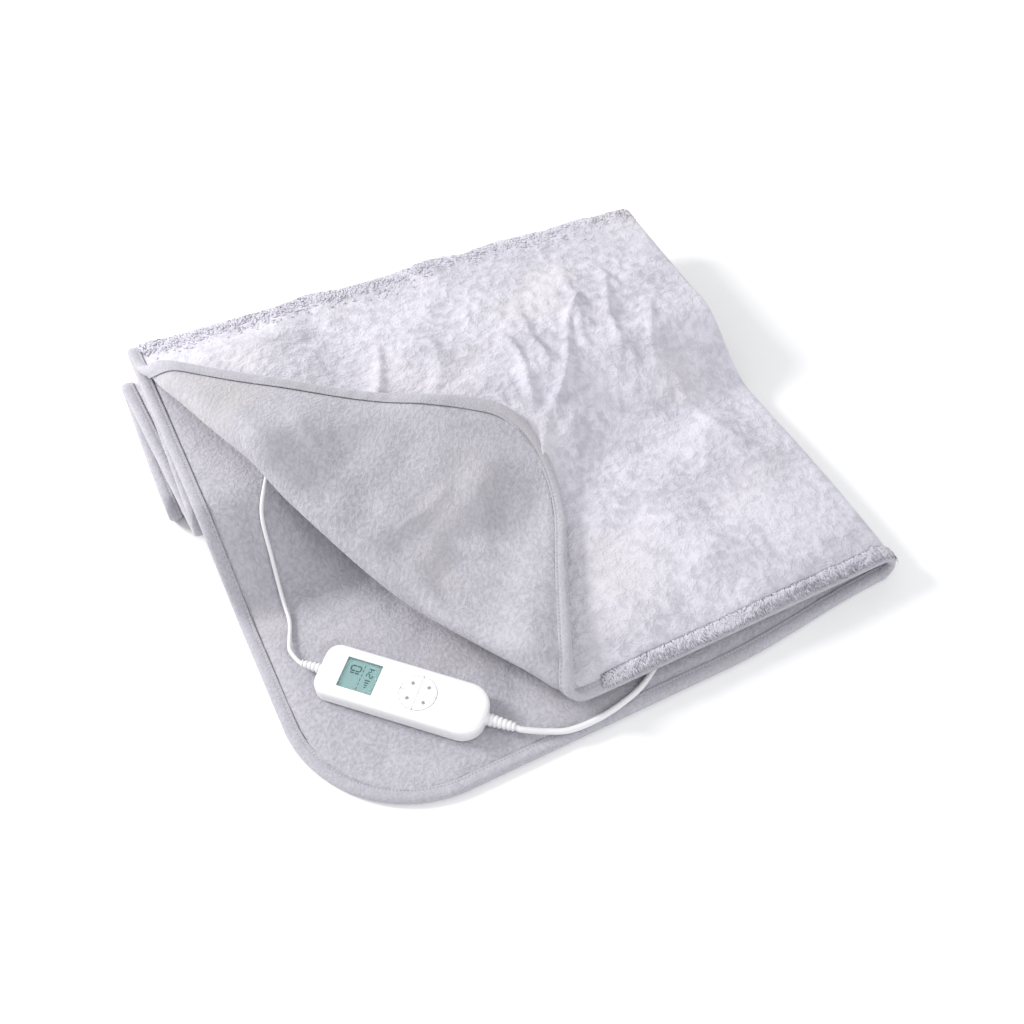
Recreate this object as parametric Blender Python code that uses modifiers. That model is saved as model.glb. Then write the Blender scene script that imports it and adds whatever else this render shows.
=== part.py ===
"""Electric heated throw, folded in half and doubled under itself at the back, with its hand controller on
the lower ply. Metres, +Z up. The origin is on the floor at the centre of the folded throw's box. The
throw is one cloth laminate (plush, wire carrier, heating wire, lining, edge binding) that is cut flat,
pulled a little askew, and then folded by one function, so that every layer lies on the next through
every fold.
"""
import math

import bmesh
import bpy
import numpy as np
from mathutils import Matrix, Vector

# ---- the cloth ----
HALF_WIDTH = 0.609          # half of the flat width: the throw is folded once along its length
RIGHT_ARC = 0.024           # flat width that the right-hand fold takes up
FOLD_X = HALF_WIDTH - RIGHT_ARC / 2
SHEET_WIDTH = 2 * HALF_WIDTH
CORNER_BOTTOM = 0.13        # corner radius of the lower ply
CORNER_TOP = 0.105          # corner radius of the upper ply, which lies more slackly
PLY = 0.0084                # thickness of the laminate
PITCH = 0.0096              # from one ply's middle to the next one's in the pile
HALF_PITCH = PITCH / 2
TURN_R = 0.0102             # middle radius of a turn of two plies
RAMP_FROM = 0.242           # the lower ply climbs over the pile's front between these
RAMP_TO = 0.350
BACK_Y = 0.5555             # where the top panel starts to turn down at the back
UPPER_TURN_Y = 0.355        # centres of the two front turns of the pile
LOWER_TURN_Y = 0.416
PILE_DROP = TURN_R - HALF_PITCH - PLY / 2   # so that the lowest fold of the pile lies on the floor
PANEL_MID = 9 * TURN_R + 0.0015 - PILE_DROP   # height between the two plies of the top panel
SIDE_STEP = 0.024           # how far the lowest fold has walked to the left
PILE_TAPER = 0.30           # the pile is this much lower at x = TAPER_X
TAPER_X = 0.6
PILE_SKEW = 0.035           # the pile's front turns run this much further back at the right
BACK_SKEW = 0.010           # and its back this much further forward
PILE_FRONT = 0.33
PILE_BACK = 0.5755
CONNECTOR_PUFF = 0.018       # the upper ply stands this much higher over the connector

# ---- the turned-back corner ----
FLAP_START = np.array([0.271, 0.012])
FLAP_END = np.array([0.013, 0.536])
FLAP_R = 0.011
FLAP_ALONG = (FLAP_END - FLAP_START) / np.linalg.norm(FLAP_END - FLAP_START)
FLAP_INWARD = np.array([FLAP_ALONG[1], -FLAP_ALONG[0]])
FLAP_BOW = 0.026            # the fold bows outwards by this much half-way along
FLAP_REST = 0.0145          # from the upper ply's middle to the flap's, once it has settled
FLAP_SETTLE = 0.10

# ---- layers, measured from the laminate's middle towards the plush side ----
PLUSH = (0.0012, 0.0042)
WIRE_H = -0.0008
WIRE_R = 0.0009
LINING = (-0.0040, -0.0028)
RIM_IN = 0.0112             # the layers end this far inside the sheet's edge, under the binding
FLARE_IN = 0.019            # and have their full thickness from here on
RIM_SQUEEZE = 0.2
BINDING_WIDTH = 0.0125
BINDING_SECTION = (         # distance in from the sheet's edge, height over the laminate's middle
    (BINDING_WIDTH, 0.0042), (0.0, 0.0025), (0.0, -0.0025), (BINDING_WIDTH, -0.0042),
    (BINDING_WIDTH, -0.00355), (0.001, -0.0017), (0.001, 0.0017), (BINDING_WIDTH, 0.00355),
)

# ---- cords ----
LEAD_R = 0.002
MAINS_R = 0.003
GAP = 0.0003
SHARP = math.radians(38)     # edges that turn by more than this stay crisp
FLOOR_CLOTH = PLY           # top of the lower ply where it lies on the floor
COIL_CENTRE = (0.440, 0.137)
COIL_MID_R = 0.036
COIL_HALF = 0.009           # half of the wound bundle's width and height

# ---- controller ----
PAD_CENTRE = (0.112, 0.108)
HEADING = math.radians(-44.7)
CASE_L = 0.165
CASE_W = 0.054
CASE_R_LEAD = 0.014
CASE_R_MAINS = 0.022
SPLIT_Z = 0.0085            # parting line above the case's underside
CASE_H = 0.019
WALL = 0.002
LCD_U = -0.0425
LCD_SIZE = (0.034, 0.031)
KEYS_U = 0.0155
KEYS_R = 0.018
BOSSES = ((-0.069, 0.0165), (-0.069, -0.0165), (0.064, 0.016), (0.064, -0.016))
BOARD = (-0.058, 0.056, 0.040)     # from, to, width
BOARD_Z = 0.0075
BOARD_T = 0.0016

# ---- blanket connector, on the lining of the lower ply under the flap ----
CONNECTOR_AT = (0.098, 0.392)
CONNECTOR_HEADING = math.radians(66)
SOCKET_L = 0.024
PLUG_L = 0.026
NOSE_L = 0.009

# ---- frame: the origin is the middle of the box of the throw ----
CENTRE_X = (FOLD_X + 0.015 - SIDE_STEP) / 2
CENTRE_Y = PILE_BACK / 2
TO_ORIGIN = Vector((-CENTRE_X, -CENTRE_Y, 0.0))

COLOURS = {                 # base colour, roughness, metallic
    "plush": ((0.67, 0.65, 0.74, 1), 0.95, 0.0),
    "lining": ((0.64, 0.62, 0.69, 1), 0.9, 0.0),
    "binding": ((0.63, 0.61, 0.68, 1), 0.85, 0.0),
    "wire": ((0.75, 0.72, 0.62, 1), 0.5, 0.0),
    "shell": ((0.87, 0.86, 0.91, 1), 0.3, 0.0),
    "cord": ((0.86, 0.86, 0.88, 1), 0.4, 0.0),
    "screen": ((0.36, 0.58, 0.58, 1), 0.15, 0.0),
    "key": ((0.85, 0.85, 0.90, 1), 0.4, 0.0),
    "board": ((0.05, 0.25, 0.12, 1), 0.5, 0.0),
    "black": ((0.03, 0.03, 0.03, 1), 0.5, 0.0),
    "brass": ((0.80, 0.60, 0.30, 1), 0.3, 1.0),
    "steel": ((0.60, 0.60, 0.62, 1), 0.3, 1.0),
    "amber": ((0.70, 0.55, 0.25, 1), 0.4, 0.0),
}


# ================= scene set-up =================
for old in list(bpy.data.objects):
    bpy.data.objects.remove(old, do_unlink=True)


def collection(name):
    made = bpy.data.collections.new(name)
    bpy.context.scene.collection.children.link(made)
    return made


PARTS = collection("heated_throw")
CUTTERS = collection("cutters")


def material(name):
    found = bpy.data.materials.get(name)
    if found:
        return found
    colour, roughness, metallic = COLOURS[name]
    made = bpy.data.materials.new(name)
    made.use_nodes = True
    shader = made.node_tree.nodes["Principled BSDF"]
    shader.inputs["Base Color"].default_value = colour
    shader.inputs["Roughness"].default_value = roughness
    shader.inputs["Metallic"].default_value = metallic
    return made


def empty(name, place, turn=0.0, parent=None):
    """An empty, linked with the parts, that carries a group of pieces."""
    made = bpy.data.objects.new(name, None)
    PARTS.objects.link(made)
    made.location = place
    made.rotation_euler = (0.0, 0.0, turn)
    made.parent = parent
    return made


ORIGIN = empty("throw_frame", TO_ORIGIN)


def add(name, mesh, finish, parent=ORIGIN, place=(0, 0, 0)):
    """Makes an object of the mesh: shaded smooth, but for edges that turn by more than SHARP."""
    mesh.materials.append(material(finish))
    mesh.shade_smooth()
    mesh.set_sharp_from_angle(angle=SHARP)
    made = bpy.data.objects.new(name, mesh)
    PARTS.objects.link(made)
    made.parent = parent
    made.location = place
    return made


def mesh_from(bm, name):
    bmesh.ops.recalc_face_normals(bm, faces=bm.faces)
    mesh = bpy.data.meshes.new(name)
    bm.to_mesh(mesh)
    bm.free()
    return mesh


# ================= how the cloth is folded =================
def ease(t):
    """Smooth step from 0 to 1."""
    t = np.clip(t, 0.0, 1.0)
    return t * t * (3 - 2 * t)


def strip_path():
    """The pile's line behind the panel: arc length, centre y, turn offset in y, z, and the direction of its
    upper side."""
    turns = (
        (BACK_Y, PANEL_MID, TURN_R + 0.00075, 1),
        (UPPER_TURN_Y, 7 * TURN_R - PILE_DROP, TURN_R, -1),
        (BACK_Y - 0.004, 5 * TURN_R - PILE_DROP, TURN_R, 1),
        (LOWER_TURN_Y, 3 * TURN_R - PILE_DROP, TURN_R, -1),
    )
    rows, creases = [], []
    s = BACK_Y
    for y, z, radius, way in turns:
        if rows:
            s += abs(y - rows[-1][1])
        for k in range(25):
            a = math.pi * k / 24
            side = 1 if way > 0 else -1
            rows.append((s + radius * a, y, side * radius * math.sin(a), z - radius + radius * math.cos(a),
                         math.sin(a), side * math.cos(a)))
        creases += [s + radius * math.pi * k / 4 for k in range(5)]
        s += radius * math.pi
    end_y = BACK_Y - 0.008
    s += abs(end_y - LOWER_TURN_Y)
    rows.append((s, end_y, 0.0, TURN_R - PILE_DROP, 0.0, 1.0))
    return np.array(rows), creases, s


PATH, TURN_ROWS, SHEET_LENGTH = strip_path()


def laid(p, q):
    """Where a point of the flat sheet lies once the throw is pulled askew, still unfolded."""
    p, q = np.broadcast_arrays(np.asarray(p, float), np.asarray(q, float))
    upper = p > FOLD_X + RIGHT_ARC
    x = np.where(upper, SHEET_WIDTH - p, np.minimum(p, FOLD_X))
    turn = np.clip((p - FOLD_X) / RIGHT_ARC, 0, 1)
    slack = np.clip((0.30 - x) / 0.30, 0, 1)
    set_back = np.where(upper, 0.020, 0.014 * ease((x - 0.40) / 0.2) + 0.006 * turn)
    s = q + set_back * np.clip(1 - q / 0.4, 0, 1)
    s = s + np.where(upper, 0.045 * ease(slack) * np.clip(1 - q / 0.52, 0, 1), 0)
    out = p + np.where(upper, 0.045 * slack * np.clip(1 - q / 0.5, 0, 1), 0)
    return np.stack([out, s], -1)


def lower_height(y):
    """Middle of the lower ply over the floor, along the top panel."""
    return PLY / 2 + (PANEL_MID - HALF_PITCH - PLY / 2) * ease((y - RAMP_FROM) / (RAMP_TO - RAMP_FROM))


def upper_height(x, y):
    """Middle of the upper ply over the floor: it spans the hollow where the cord is stowed, and puffs over
    the connector."""
    across = x / TAPER_X
    front = 0.0255 + 0.0105 * ease((y - 0.015) / 0.06) * ease((FOLD_X - x) / 0.07)
    start = 0.12 + 0.13 * across
    rise = ease((y - start) / (0.35 + 0.01 * across - start))
    resting = lower_height(y) + PITCH
    soften = 0.004 * ease((0.42 - y) / 0.08)
    puff_x = ease((x + 0.01) / 0.05) * ease((0.23 - x) / 0.12)
    puff_y = ease((y - 0.30) / 0.06) * ease((BACK_Y - y) / 0.06)
    puff = CONNECTOR_PUFF * puff_x * puff_y
    free = front + (PANEL_MID + HALF_PITCH - front) * rise
    return (free + resting + np.sqrt((free - resting) ** 2 + soften ** 2)) / 2 + puff


def turned_back(x, s):
    """The corner beyond the flap's line turns about it and lies back on the ply: new x and s, and height
    over the ply."""
    a = (x - FLAP_START[0]) * FLAP_ALONG[0] + (s - FLAP_START[1]) * FLAP_ALONG[1]
    b = -(x - FLAP_START[0]) * FLAP_INWARD[0] - (s - FLAP_START[1]) * FLAP_INWARD[1]
    angle = np.clip(b / FLAP_R, 0, math.pi)
    back = np.clip(b - math.pi * FLAP_R, 0, None)
    out = np.where(b > 0, FLAP_R * np.sin(angle) - back, b)
    lift = FLAP_R * (1 - np.cos(angle)) + (FLAP_REST - 2 * FLAP_R) * ease(back / FLAP_SETTLE)
    bow = FLAP_BOW * np.sin(math.pi * np.clip(a / 0.575, 0, 1)) * np.exp(-(out / 0.11) ** 2)
    out = out + bow
    new_x = FLAP_START[0] + a * FLAP_ALONG[0] - out * FLAP_INWARD[0]
    new_s = FLAP_START[1] + a * FLAP_ALONG[1] - out * FLAP_INWARD[1]
    return new_x, new_s, np.where(b > 0, lift, 0)


def middle(p, s):
    """Points of the folded laminate's middle surface for points of the laid-out sheet, and how far the pile
    is squeezed there."""
    upper = p > FOLD_X + RIGHT_ARC
    turn = math.pi * np.clip((p - FOLD_X) / RIGHT_ARC, 0, 1)
    x = np.where(upper, SHEET_WIDTH - p, np.minimum(p, FOLD_X))
    fx, fs, lift = turned_back(x, s)
    x, s, lift = np.where(upper, fx, x), np.where(upper, fs, s), np.where(upper, lift, 0)
    low, high = lower_height(s), upper_height(x, s)
    half = (high - low) / 2
    across = x / TAPER_X
    centre, bulge, z, ny, nz = (np.interp(s, PATH[:, 0], PATH[:, k]) for k in range(1, 6))
    behind = s > BACK_Y
    squeeze = 1 - PILE_TAPER * across * ease((np.where(behind, BACK_Y, s) - 0.10) / 0.22)
    y = np.where(behind, centre + squeeze * (bulge - HALF_PITCH * np.cos(turn) * ny), s)
    z = np.where(behind, z - HALF_PITCH * np.cos(turn) * nz, (high + low) / 2 - half * np.cos(turn) + lift)
    x = x + np.where(behind, HALF_PITCH, half) * squeeze * np.sin(turn)
    x = x - SIDE_STEP * ease((s - BACK_Y) / (SHEET_LENGTH - 0.12 - BACK_Y))
    skew = np.where(y < PILE_FRONT, y / PILE_FRONT, (PILE_BACK - y) / (PILE_BACK - PILE_FRONT))
    y_out = y + across * (PILE_SKEW * skew - BACK_SKEW * y / PILE_BACK)
    return np.stack([x, y_out, z * squeeze], -1), squeeze


def folded(p, s, h):
    """Folded place of a point h above the laminate's middle, on its plush side for positive h."""
    p, s, h = np.broadcast_arrays(np.asarray(p, float), np.asarray(s, float), np.asarray(h, float))
    step = 2e-4
    here, squeeze = middle(p, s)
    across = middle(p + step, s)[0] - middle(p - step, s)[0]
    along = middle(p, s + step)[0] - middle(p, s - step)[0]
    normal = -np.cross(across, along)
    normal /= np.linalg.norm(normal, axis=-1, keepdims=True)
    return here + normal * (h * squeeze)[..., None]


# ================= the sheet, cut flat =================
def outline(inset):
    """The sheet's edge, this far in from the binding's outer edge: rounded corners and straight runs, in
    flat p and q."""
    w, l = SHEET_WIDTH, SHEET_LENGTH
    steps = np.linspace(0, math.pi / 2, 6)

    def corner(p, q, radius, start):
        a = start + steps
        r = radius - inset
        return list(zip(p + r * np.cos(a), q + r * np.sin(a)))

    def edge(places, q):
        return [(p, q) for p in places]

    rb, rt = CORNER_BOTTOM, CORNER_TOP
    loop = corner(rb, rb, rb, math.pi)
    loop += edge((0.30, 0.40, 0.47, 0.53, FOLD_X, FOLD_X + RIGHT_ARC), inset)
    loop += edge([w - x for x in (0.53, 0.45, 0.30, 0.24, 0.17)], inset)
    loop += corner(w - rt, rt, rt, 1.5 * math.pi)
    loop += [(w - inset, 0.40), (w - inset, 0.52)]
    loop += corner(w - rt, l - rt, rt, 0.0)
    loop += corner(rb, l - rb, rb, 0.5 * math.pi)
    loop += [(inset, 0.40)]
    return laid(*np.array(loop).T)


def cut(bm, at, normal, chosen=None):
    """Adds a crease line across the chosen faces, or across the whole sheet."""
    faces = [f for f in bm.faces if chosen is None or chosen(f.calc_center_median())]
    edges = {e for f in faces for e in f.edges}
    verts = {v for f in faces for v in f.verts}
    bmesh.ops.bisect_plane(bm, geom=list(verts) + list(edges) + faces, dist=2e-4,
                           plane_co=(at[0], at[1], 0), plane_no=(normal[0], normal[1], 0))


def flap_distance(point):
    """How far a point of the laid-out upper ply is beyond the flap's fold line."""
    x = SHEET_WIDTH - point[0]
    return -(x - FLAP_START[0]) * FLAP_INWARD[0] - (point[1] - FLAP_START[1]) * FLAP_INWARD[1]


def mirrored_row(y):
    """A point and normal, in the laid-out sheet, of the line on the flap that comes to lie over the ply's
    row at y."""
    mirror = FLAP_START - FLAP_INWARD * (math.pi / 2 * FLAP_R)
    normal = np.array([0.0, 1.0])
    normal = normal - 2 * (normal @ FLAP_INWARD) * FLAP_INWARD
    point = np.array([0.15, y])
    point = point - 2 * ((point - mirror) @ FLAP_INWARD) * FLAP_INWARD
    return (SHEET_WIDTH - point[0], point[1]), (-normal[0], normal[1])


def creased_sheet():
    """The laid-out sheet as a flat mesh with an edge along every crease: a rim band and the field inside
    it."""
    bm = bmesh.new()
    rim = [bm.verts.new((p, s, 0)) for p, s in outline(RIM_IN)]
    flare = [bm.verts.new((p, s, 0)) for p, s in outline(FLARE_IN)]
    bm.faces.new(flare)
    for i in range(len(rim)):
        j = (i + 1) % len(rim)
        bm.faces.new((rim[i], rim[j], flare[j], flare[i]))
    for k in range(5):
        cut(bm, (FOLD_X + RIGHT_ARC * k / 4, 0), (1, 0))
    for row in TURN_ROWS:
        cut(bm, (0, row), (0, 1))
    ramp = [RAMP_FROM + (RAMP_TO - RAMP_FROM) * k / 7 for k in range(8)]
    for row in [0.05, 0.09, 0.13, 0.16, 0.188, 0.215] + ramp + [0.45, 0.51]:
        cut(bm, (0, row), (0, 1), lambda c: c.x < FOLD_X + RIGHT_ARC or flap_distance(c) < math.pi * FLAP_R)

    def upper_panel(c):
        return c.x > FOLD_X + RIGHT_ARC and c.y < BACK_Y

    for k in range(7):
        x, s = FLAP_START - FLAP_INWARD * (FLAP_R * math.pi * k / 6)
        cut(bm, (SHEET_WIDTH - x, s), (-FLAP_INWARD[0], FLAP_INWARD[1]), upper_panel)
    for extra in (0.03, 0.06, 0.10, 0.16):
        x, s = FLAP_START - FLAP_INWARD * (FLAP_R * math.pi + extra)
        cut(bm, (SHEET_WIDTH - x, s), (-FLAP_INWARD[0], FLAP_INWARD[1]), upper_panel)
    for row in (0.13, 0.16, 0.19, 0.22, 0.25, 0.28, 0.31, 0.345, 0.40, 0.46):
        at, normal = mirrored_row(row)
        cut(bm, at, normal, lambda c: upper_panel(c) and flap_distance(c) > math.pi * FLAP_R)
    for x in (0.07, 0.12, 0.17, 0.24, 0.34, 0.46, 0.53):
        cut(bm, (SHEET_WIDTH - x, 0), (1, 0), lambda c: upper_panel(c) and flap_distance(c) < 0)
    for x in (0.20, 0.40):
        cut(bm, (x, 0), (1, 0), lambda c: c.x < FOLD_X)
        cut(bm, (SHEET_WIDTH - x, 0), (1, 0), lambda c: c.x > FOLD_X + RIGHT_ARC and c.y > BACK_Y)
    bmesh.ops.remove_doubles(bm, verts=bm.verts, dist=8e-4)
    bmesh.ops.dissolve_degenerate(bm, edges=bm.edges, dist=1e-4)
    return bm


def rim_stations(bm):
    """The rim's points in order, each with the direction of its crease into the sheet, per metre of depth."""
    edge = next(e for e in bm.edges if e.is_boundary)
    first = edge.verts[0]
    loop, here, came = [], first, None
    while True:
        loop.append(here)
        came = next(e for e in here.link_edges if e.is_boundary and e != came)
        here = came.other_vert(here)
        if here == first:
            break
    points = np.array([v.co[:2] for v in loop])
    ahead = np.roll(points, -1, 0) - np.roll(points, 1, 0)
    inward = np.stack([-ahead[:, 1], ahead[:, 0]], -1)
    inward /= np.linalg.norm(inward, axis=1, keepdims=True)
    if ((points.mean(0) - points[0]) @ inward[0]) < 0:
        inward = -inward
    slants = []
    for vert, across in zip(loop, inward):
        inner_edges = [e for e in vert.link_edges if not e.is_boundary]
        ways = [np.array(e.other_vert(vert).co[:2]) - np.array(vert.co[:2]) for e in inner_edges]
        ways = [w / np.linalg.norm(w) for w in ways]
        best = max(ways, key=lambda w: w @ across, default=across)
        side = np.array([across[1], -across[0]])
        slants.append(np.clip((best @ side) / max(best @ across, 0.3), -1.2, 1.2))
    slants = np.array(slants)
    space = np.linalg.norm(np.roll(points, -1, 0) - points, axis=1)
    for _ in range(30):
        spread = np.abs(np.roll(slants, -1) - slants) * 0.013
        crowd = spread > 0.7 * space
        slants[crowd | np.roll(crowd, 1)] *= 0.8
    sides = np.stack([inward[:, 1], -inward[:, 0]], -1)
    return points, inward + sides * slants[:, None]


def slab(bm_flat, name, finish, bottom, top):
    """One layer of the laminate: the flat mesh given a thickness and folded. Its rim is squeezed under the
    binding."""
    bm = bm_flat.copy()
    bmesh.ops.triangulate(bm, faces=bm.faces)
    verts = list(bm.verts)
    flat = np.array([v.co[:2] for v in verts])
    squeeze = np.array([RIM_SQUEEZE if v.is_boundary else 1.0 for v in verts])
    low = folded(flat[:, 0], flat[:, 1], bottom * squeeze)
    high = folded(flat[:, 0], flat[:, 1], top * squeeze)
    out = bmesh.new()
    lows = [out.verts.new(c) for c in low]
    highs = [out.verts.new(c) for c in high]
    index = {v: i for i, v in enumerate(verts)}
    for f in bm.faces:
        ids = [index[v] for v in f.verts]
        out.faces.new([highs[i] for i in ids])
        out.faces.new([lows[i] for i in reversed(ids)])
    for e in bm.edges:
        if e.is_boundary:
            loop = e.link_loops[0]
            a, b = index[loop.vert], index[loop.link_loop_next.vert]
            out.faces.new((highs[b], highs[a], lows[a], lows[b]))
    bm.free()
    return add(name, mesh_from(out, name), finish)


def edge_binding(bm_flat):
    """The tape round the sheet's edge: a C section carried along the rim, one station at each crease."""
    points, lines = rim_stations(bm_flat)
    rings = []
    for depth, height in BINDING_SECTION:
        at = points + lines * (depth - RIM_IN)
        rings.append(folded(at[:, 0], at[:, 1], height))
    bm = bmesh.new()
    rows = [[bm.verts.new(c) for c in ring] for ring in rings]
    for k in range(len(rows)):
        nxt = rows[(k + 1) % len(rows)]
        deep = BINDING_SECTION[k][0] > BINDING_SECTION[(k + 1) % len(rows)][0]
        for i in range(len(points)):
            j = (i + 1) % len(points)
            a, b, c, d = rows[k][i], rows[k][j], nxt[j], nxt[i]
            halves = ((a, b, c), (a, c, d)) if deep else ((a, b, d), (b, c, d))
            for half in halves:
                bm.faces.new(half)
    return add("edge_binding", mesh_from(bm, "edge_binding"), "binding")


def trace(tris, flat, place, start, end):
    """Points where a straight line of the laid-out sheet crosses the layer's edges, in order, on the folded
    facets."""
    start, end = np.array(start, float), np.array(end, float)
    run = end - start
    found = {}
    for tri in tris:
        for a, b in ((tri[0], tri[1]), (tri[1], tri[2]), (tri[2], tri[0])):
            pa, pb = flat[a], flat[b]
            side = pb - pa
            cross = run[0] * side[1] - run[1] * side[0]
            if abs(cross) < 1e-12:
                continue
            off = pa - start
            t = (off[0] * side[1] - off[1] * side[0]) / cross
            u = (off[0] * run[1] - off[1] * run[0]) / cross
            if 0 <= t <= 1 and -1e-9 <= u <= 1 + 1e-9:
                found[round(t, 5)] = place[a] + (place[b] - place[a]) * u
    return [found[t] for t in sorted(found)]


def thinned(points, slack=2e-4, nearest=0.0018):
    """Drops the points of a line that lie straight between their neighbours or crowd them."""
    kept = [points[0]]
    for i in range(1, len(points) - 1):
        a, b, c = kept[-1], points[i], points[i + 1]
        chord = c - a
        off = np.linalg.norm(np.cross(b - a, chord)) / max(np.linalg.norm(chord), 1e-9)
        if off > slack and np.linalg.norm(b - a) > nearest:
            kept.append(b)
    kept.append(points[-1])
    return kept


def heating_wire(bm_flat):
    """The wire lies between carrier and lining: from the connector down the left side, then to and fro
    across the sheet."""
    bm = bm_flat.copy()
    bmesh.ops.triangulate(bm, faces=bm.faces)
    bm.verts.index_update()
    flat = np.array([v.co[:2] for v in bm.verts])
    tris = [[v.index for v in f.verts] for f in bm.faces]
    bm.free()
    place = folded(flat[:, 0], flat[:, 1], WIRE_H)
    left, right = 0.056, SHEET_WIDTH - 0.056
    corners = [(0.12, 0.425), (0.034, 0.405), (0.034, 0.12)]
    rows = (0.12, 0.22, 0.31, 0.49, 0.66, 0.74, 0.87, 0.95, 1.09, SHEET_LENGTH - 0.05)
    for k, row in enumerate(rows):
        ends = (left, right) if k % 2 == 0 else (right, left)
        corners += [(ends[0], row), (ends[1], row)]
    points = []
    for a, b in zip(corners, corners[1:]):
        points += trace(tris, flat, place, a, b)
    return tube("heating_wire", thinned(points), WIRE_R, "wire", sides=0)


def tube(name, points, radius, finish, sides=2, parent=ORIGIN):
    """A round cord or wire along a list of points, with closed ends."""
    curve = bpy.data.curves.new(name, "CURVE")
    curve.dimensions = "3D"
    curve.bevel_depth = radius
    curve.bevel_resolution = sides
    curve.use_fill_caps = True
    spline = curve.splines.new("POLY")
    spline.points.add(len(points) - 1)
    for point, co in zip(spline.points, points):
        point.co = (co[0], co[1], co[2], 1)
    curve.materials.append(material(finish))
    made = bpy.data.objects.new(name, curve)
    PARTS.objects.link(made)
    made.parent = parent
    return made


FLAT = creased_sheet()
slab(FLAT, "plush_cover", "plush", *PLUSH)
slab(FLAT, "soft_lining", "lining", *LINING)
edge_binding(FLAT)
heating_wire(FLAT)
FLAT.free()


# ================= solids for the small parts =================
def loft(name, rings, finish, parent):
    """A closed solid through rings of the same number of points, the first and last ring capped."""
    bm = bmesh.new()
    rows = [[bm.verts.new(c) for c in ring] for ring in rings]
    for lower, upper in zip(rows, rows[1:]):
        for i in range(len(lower)):
            j = (i + 1) % len(lower)
            bm.faces.new((lower[i], lower[j], upper[j], upper[i]))
    bm.faces.new(rows[0])
    bm.faces.new(rows[-1])
    return add(name, mesh_from(bm, name), finish, parent)


def turned(name, profile, finish, parent, axis="x", place=(0, 0, 0), segments=20, closed=False):
    """A profile of (along, radius) points turned about an axis; a closed profile makes a ring-shaped
    solid."""
    points = [(radius, along) for along, radius in profile]
    area = sum(a[0] * b[1] - b[0] * a[1] for a, b in zip(points, points[1:] + points[:1]))
    if area > 0:
        points.reverse()
    bm = bmesh.new()
    verts = [bm.verts.new((radius, 0, along)) for radius, along in points]
    pairs = list(zip(verts, verts[1:]))
    if closed:
        pairs.append((verts[-1], verts[0]))
    for pair in pairs:
        bm.edges.new(pair)
    mesh = bpy.data.meshes.new(name)
    bm.to_mesh(mesh)
    bm.free()
    made = add(name, mesh, finish, parent, place)
    if axis == "x":
        made.rotation_euler = (0.0, math.pi / 2, 0.0)
    mod = made.modifiers.new("Screw", "SCREW")
    mod.axis = "Z"
    mod.steps = segments
    mod.render_steps = segments
    mod.use_merge_vertices = True
    mod.merge_threshold = 0.00001
    return made


def box(name, low, high, finish, parent, bevel=0.0):
    bm = bmesh.new()
    bmesh.ops.create_cube(bm, size=1.0)
    for v in bm.verts:
        v.co = Vector([low[i] + (v.co[i] + 0.5) * (high[i] - low[i]) for i in range(3)])
    made = add(name, mesh_from(bm, name), finish, parent)
    if bevel:
        mod = made.modifiers.new("Bevel", "BEVEL")
        mod.width = bevel
        mod.segments = 2
    return made


def combine(target, tool, operation):
    """Cuts the tool out of the target, or joins it on; the tool goes with the cutters."""
    for owner in list(tool.users_collection):
        owner.objects.unlink(tool)
    CUTTERS.objects.link(tool)
    tool.hide_render = True
    tool.display_type = "WIRE"
    mod = target.modifiers.new(operation.title(), "BOOLEAN")
    mod.operation = operation
    mod.solver = "EXACT"
    mod.object = tool


def drilled(target, along, radius, place, axis="x"):
    """A plain round hole between the two places along the axis."""
    profile = ((along[0], 0), (along[0], radius), (along[1], radius), (along[1], 0))
    combine(target, turned(target.name + "_bore", profile, "black", target.parent, axis, place), "DIFFERENCE")


def smooth_line(points, spacing):
    """A soft line through the points, as points an even distance apart."""
    pts = np.array(points, float)
    ends = np.vstack([2 * pts[0] - pts[1], pts, 2 * pts[-1] - pts[-2]])
    t = np.arange(16)[:, None] / 16
    spans = []
    for i in range(1, len(ends) - 2):
        a, b, c, d = ends[i - 1:i + 3]
        spans.append(0.5 * (2 * b + (c - a) * t + (2 * a - 5 * b + 4 * c - d) * t ** 2
                            + (3 * b - a - 3 * c + d) * t ** 3))
    fine = np.vstack(spans + [pts[-1:]])
    run = np.concatenate([[0], np.cumsum(np.linalg.norm(np.diff(fine, axis=0), axis=1))])
    places = np.linspace(0, run[-1], max(int(round(run[-1] / spacing)), 2) + 1)
    return np.stack([np.interp(places, run, fine[:, k]) for k in range(3)], -1)


def rest_height(x, y):
    """Height of the lower ply's upper face over a place on the floor."""
    p, s = x, y
    for _ in range(8):
        at = folded(p, s, -PLY / 2)
        p, s = p + x - at[0], s + y - at[1]
    return float(at[2])


# ================= controller =================
def case_outline(inset):
    """Plan of the controller's case: tighter corners at the lead's end, fuller ones at the mains end."""
    points = []
    half_l, half_w = CASE_L / 2, CASE_W / 2
    for sx, sy, radius, start in ((1, 1, CASE_R_MAINS, 0), (-1, 1, CASE_R_LEAD, 1), (-1, -1, CASE_R_LEAD, 2),
                                  (1, -1, CASE_R_MAINS, 3)):
        for k in range(7):
            a = math.pi / 2 * (start + k / 6)
            r = max(radius - inset, 0.0005)
            x = sx * (half_l - radius) + r * math.cos(a)
            y = sy * (half_w - radius) + r * math.sin(a)
            points.append((x, y))
    return points


def case_ring(inset, z):
    return [(x, y, z) for x, y in case_outline(inset)]


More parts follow.
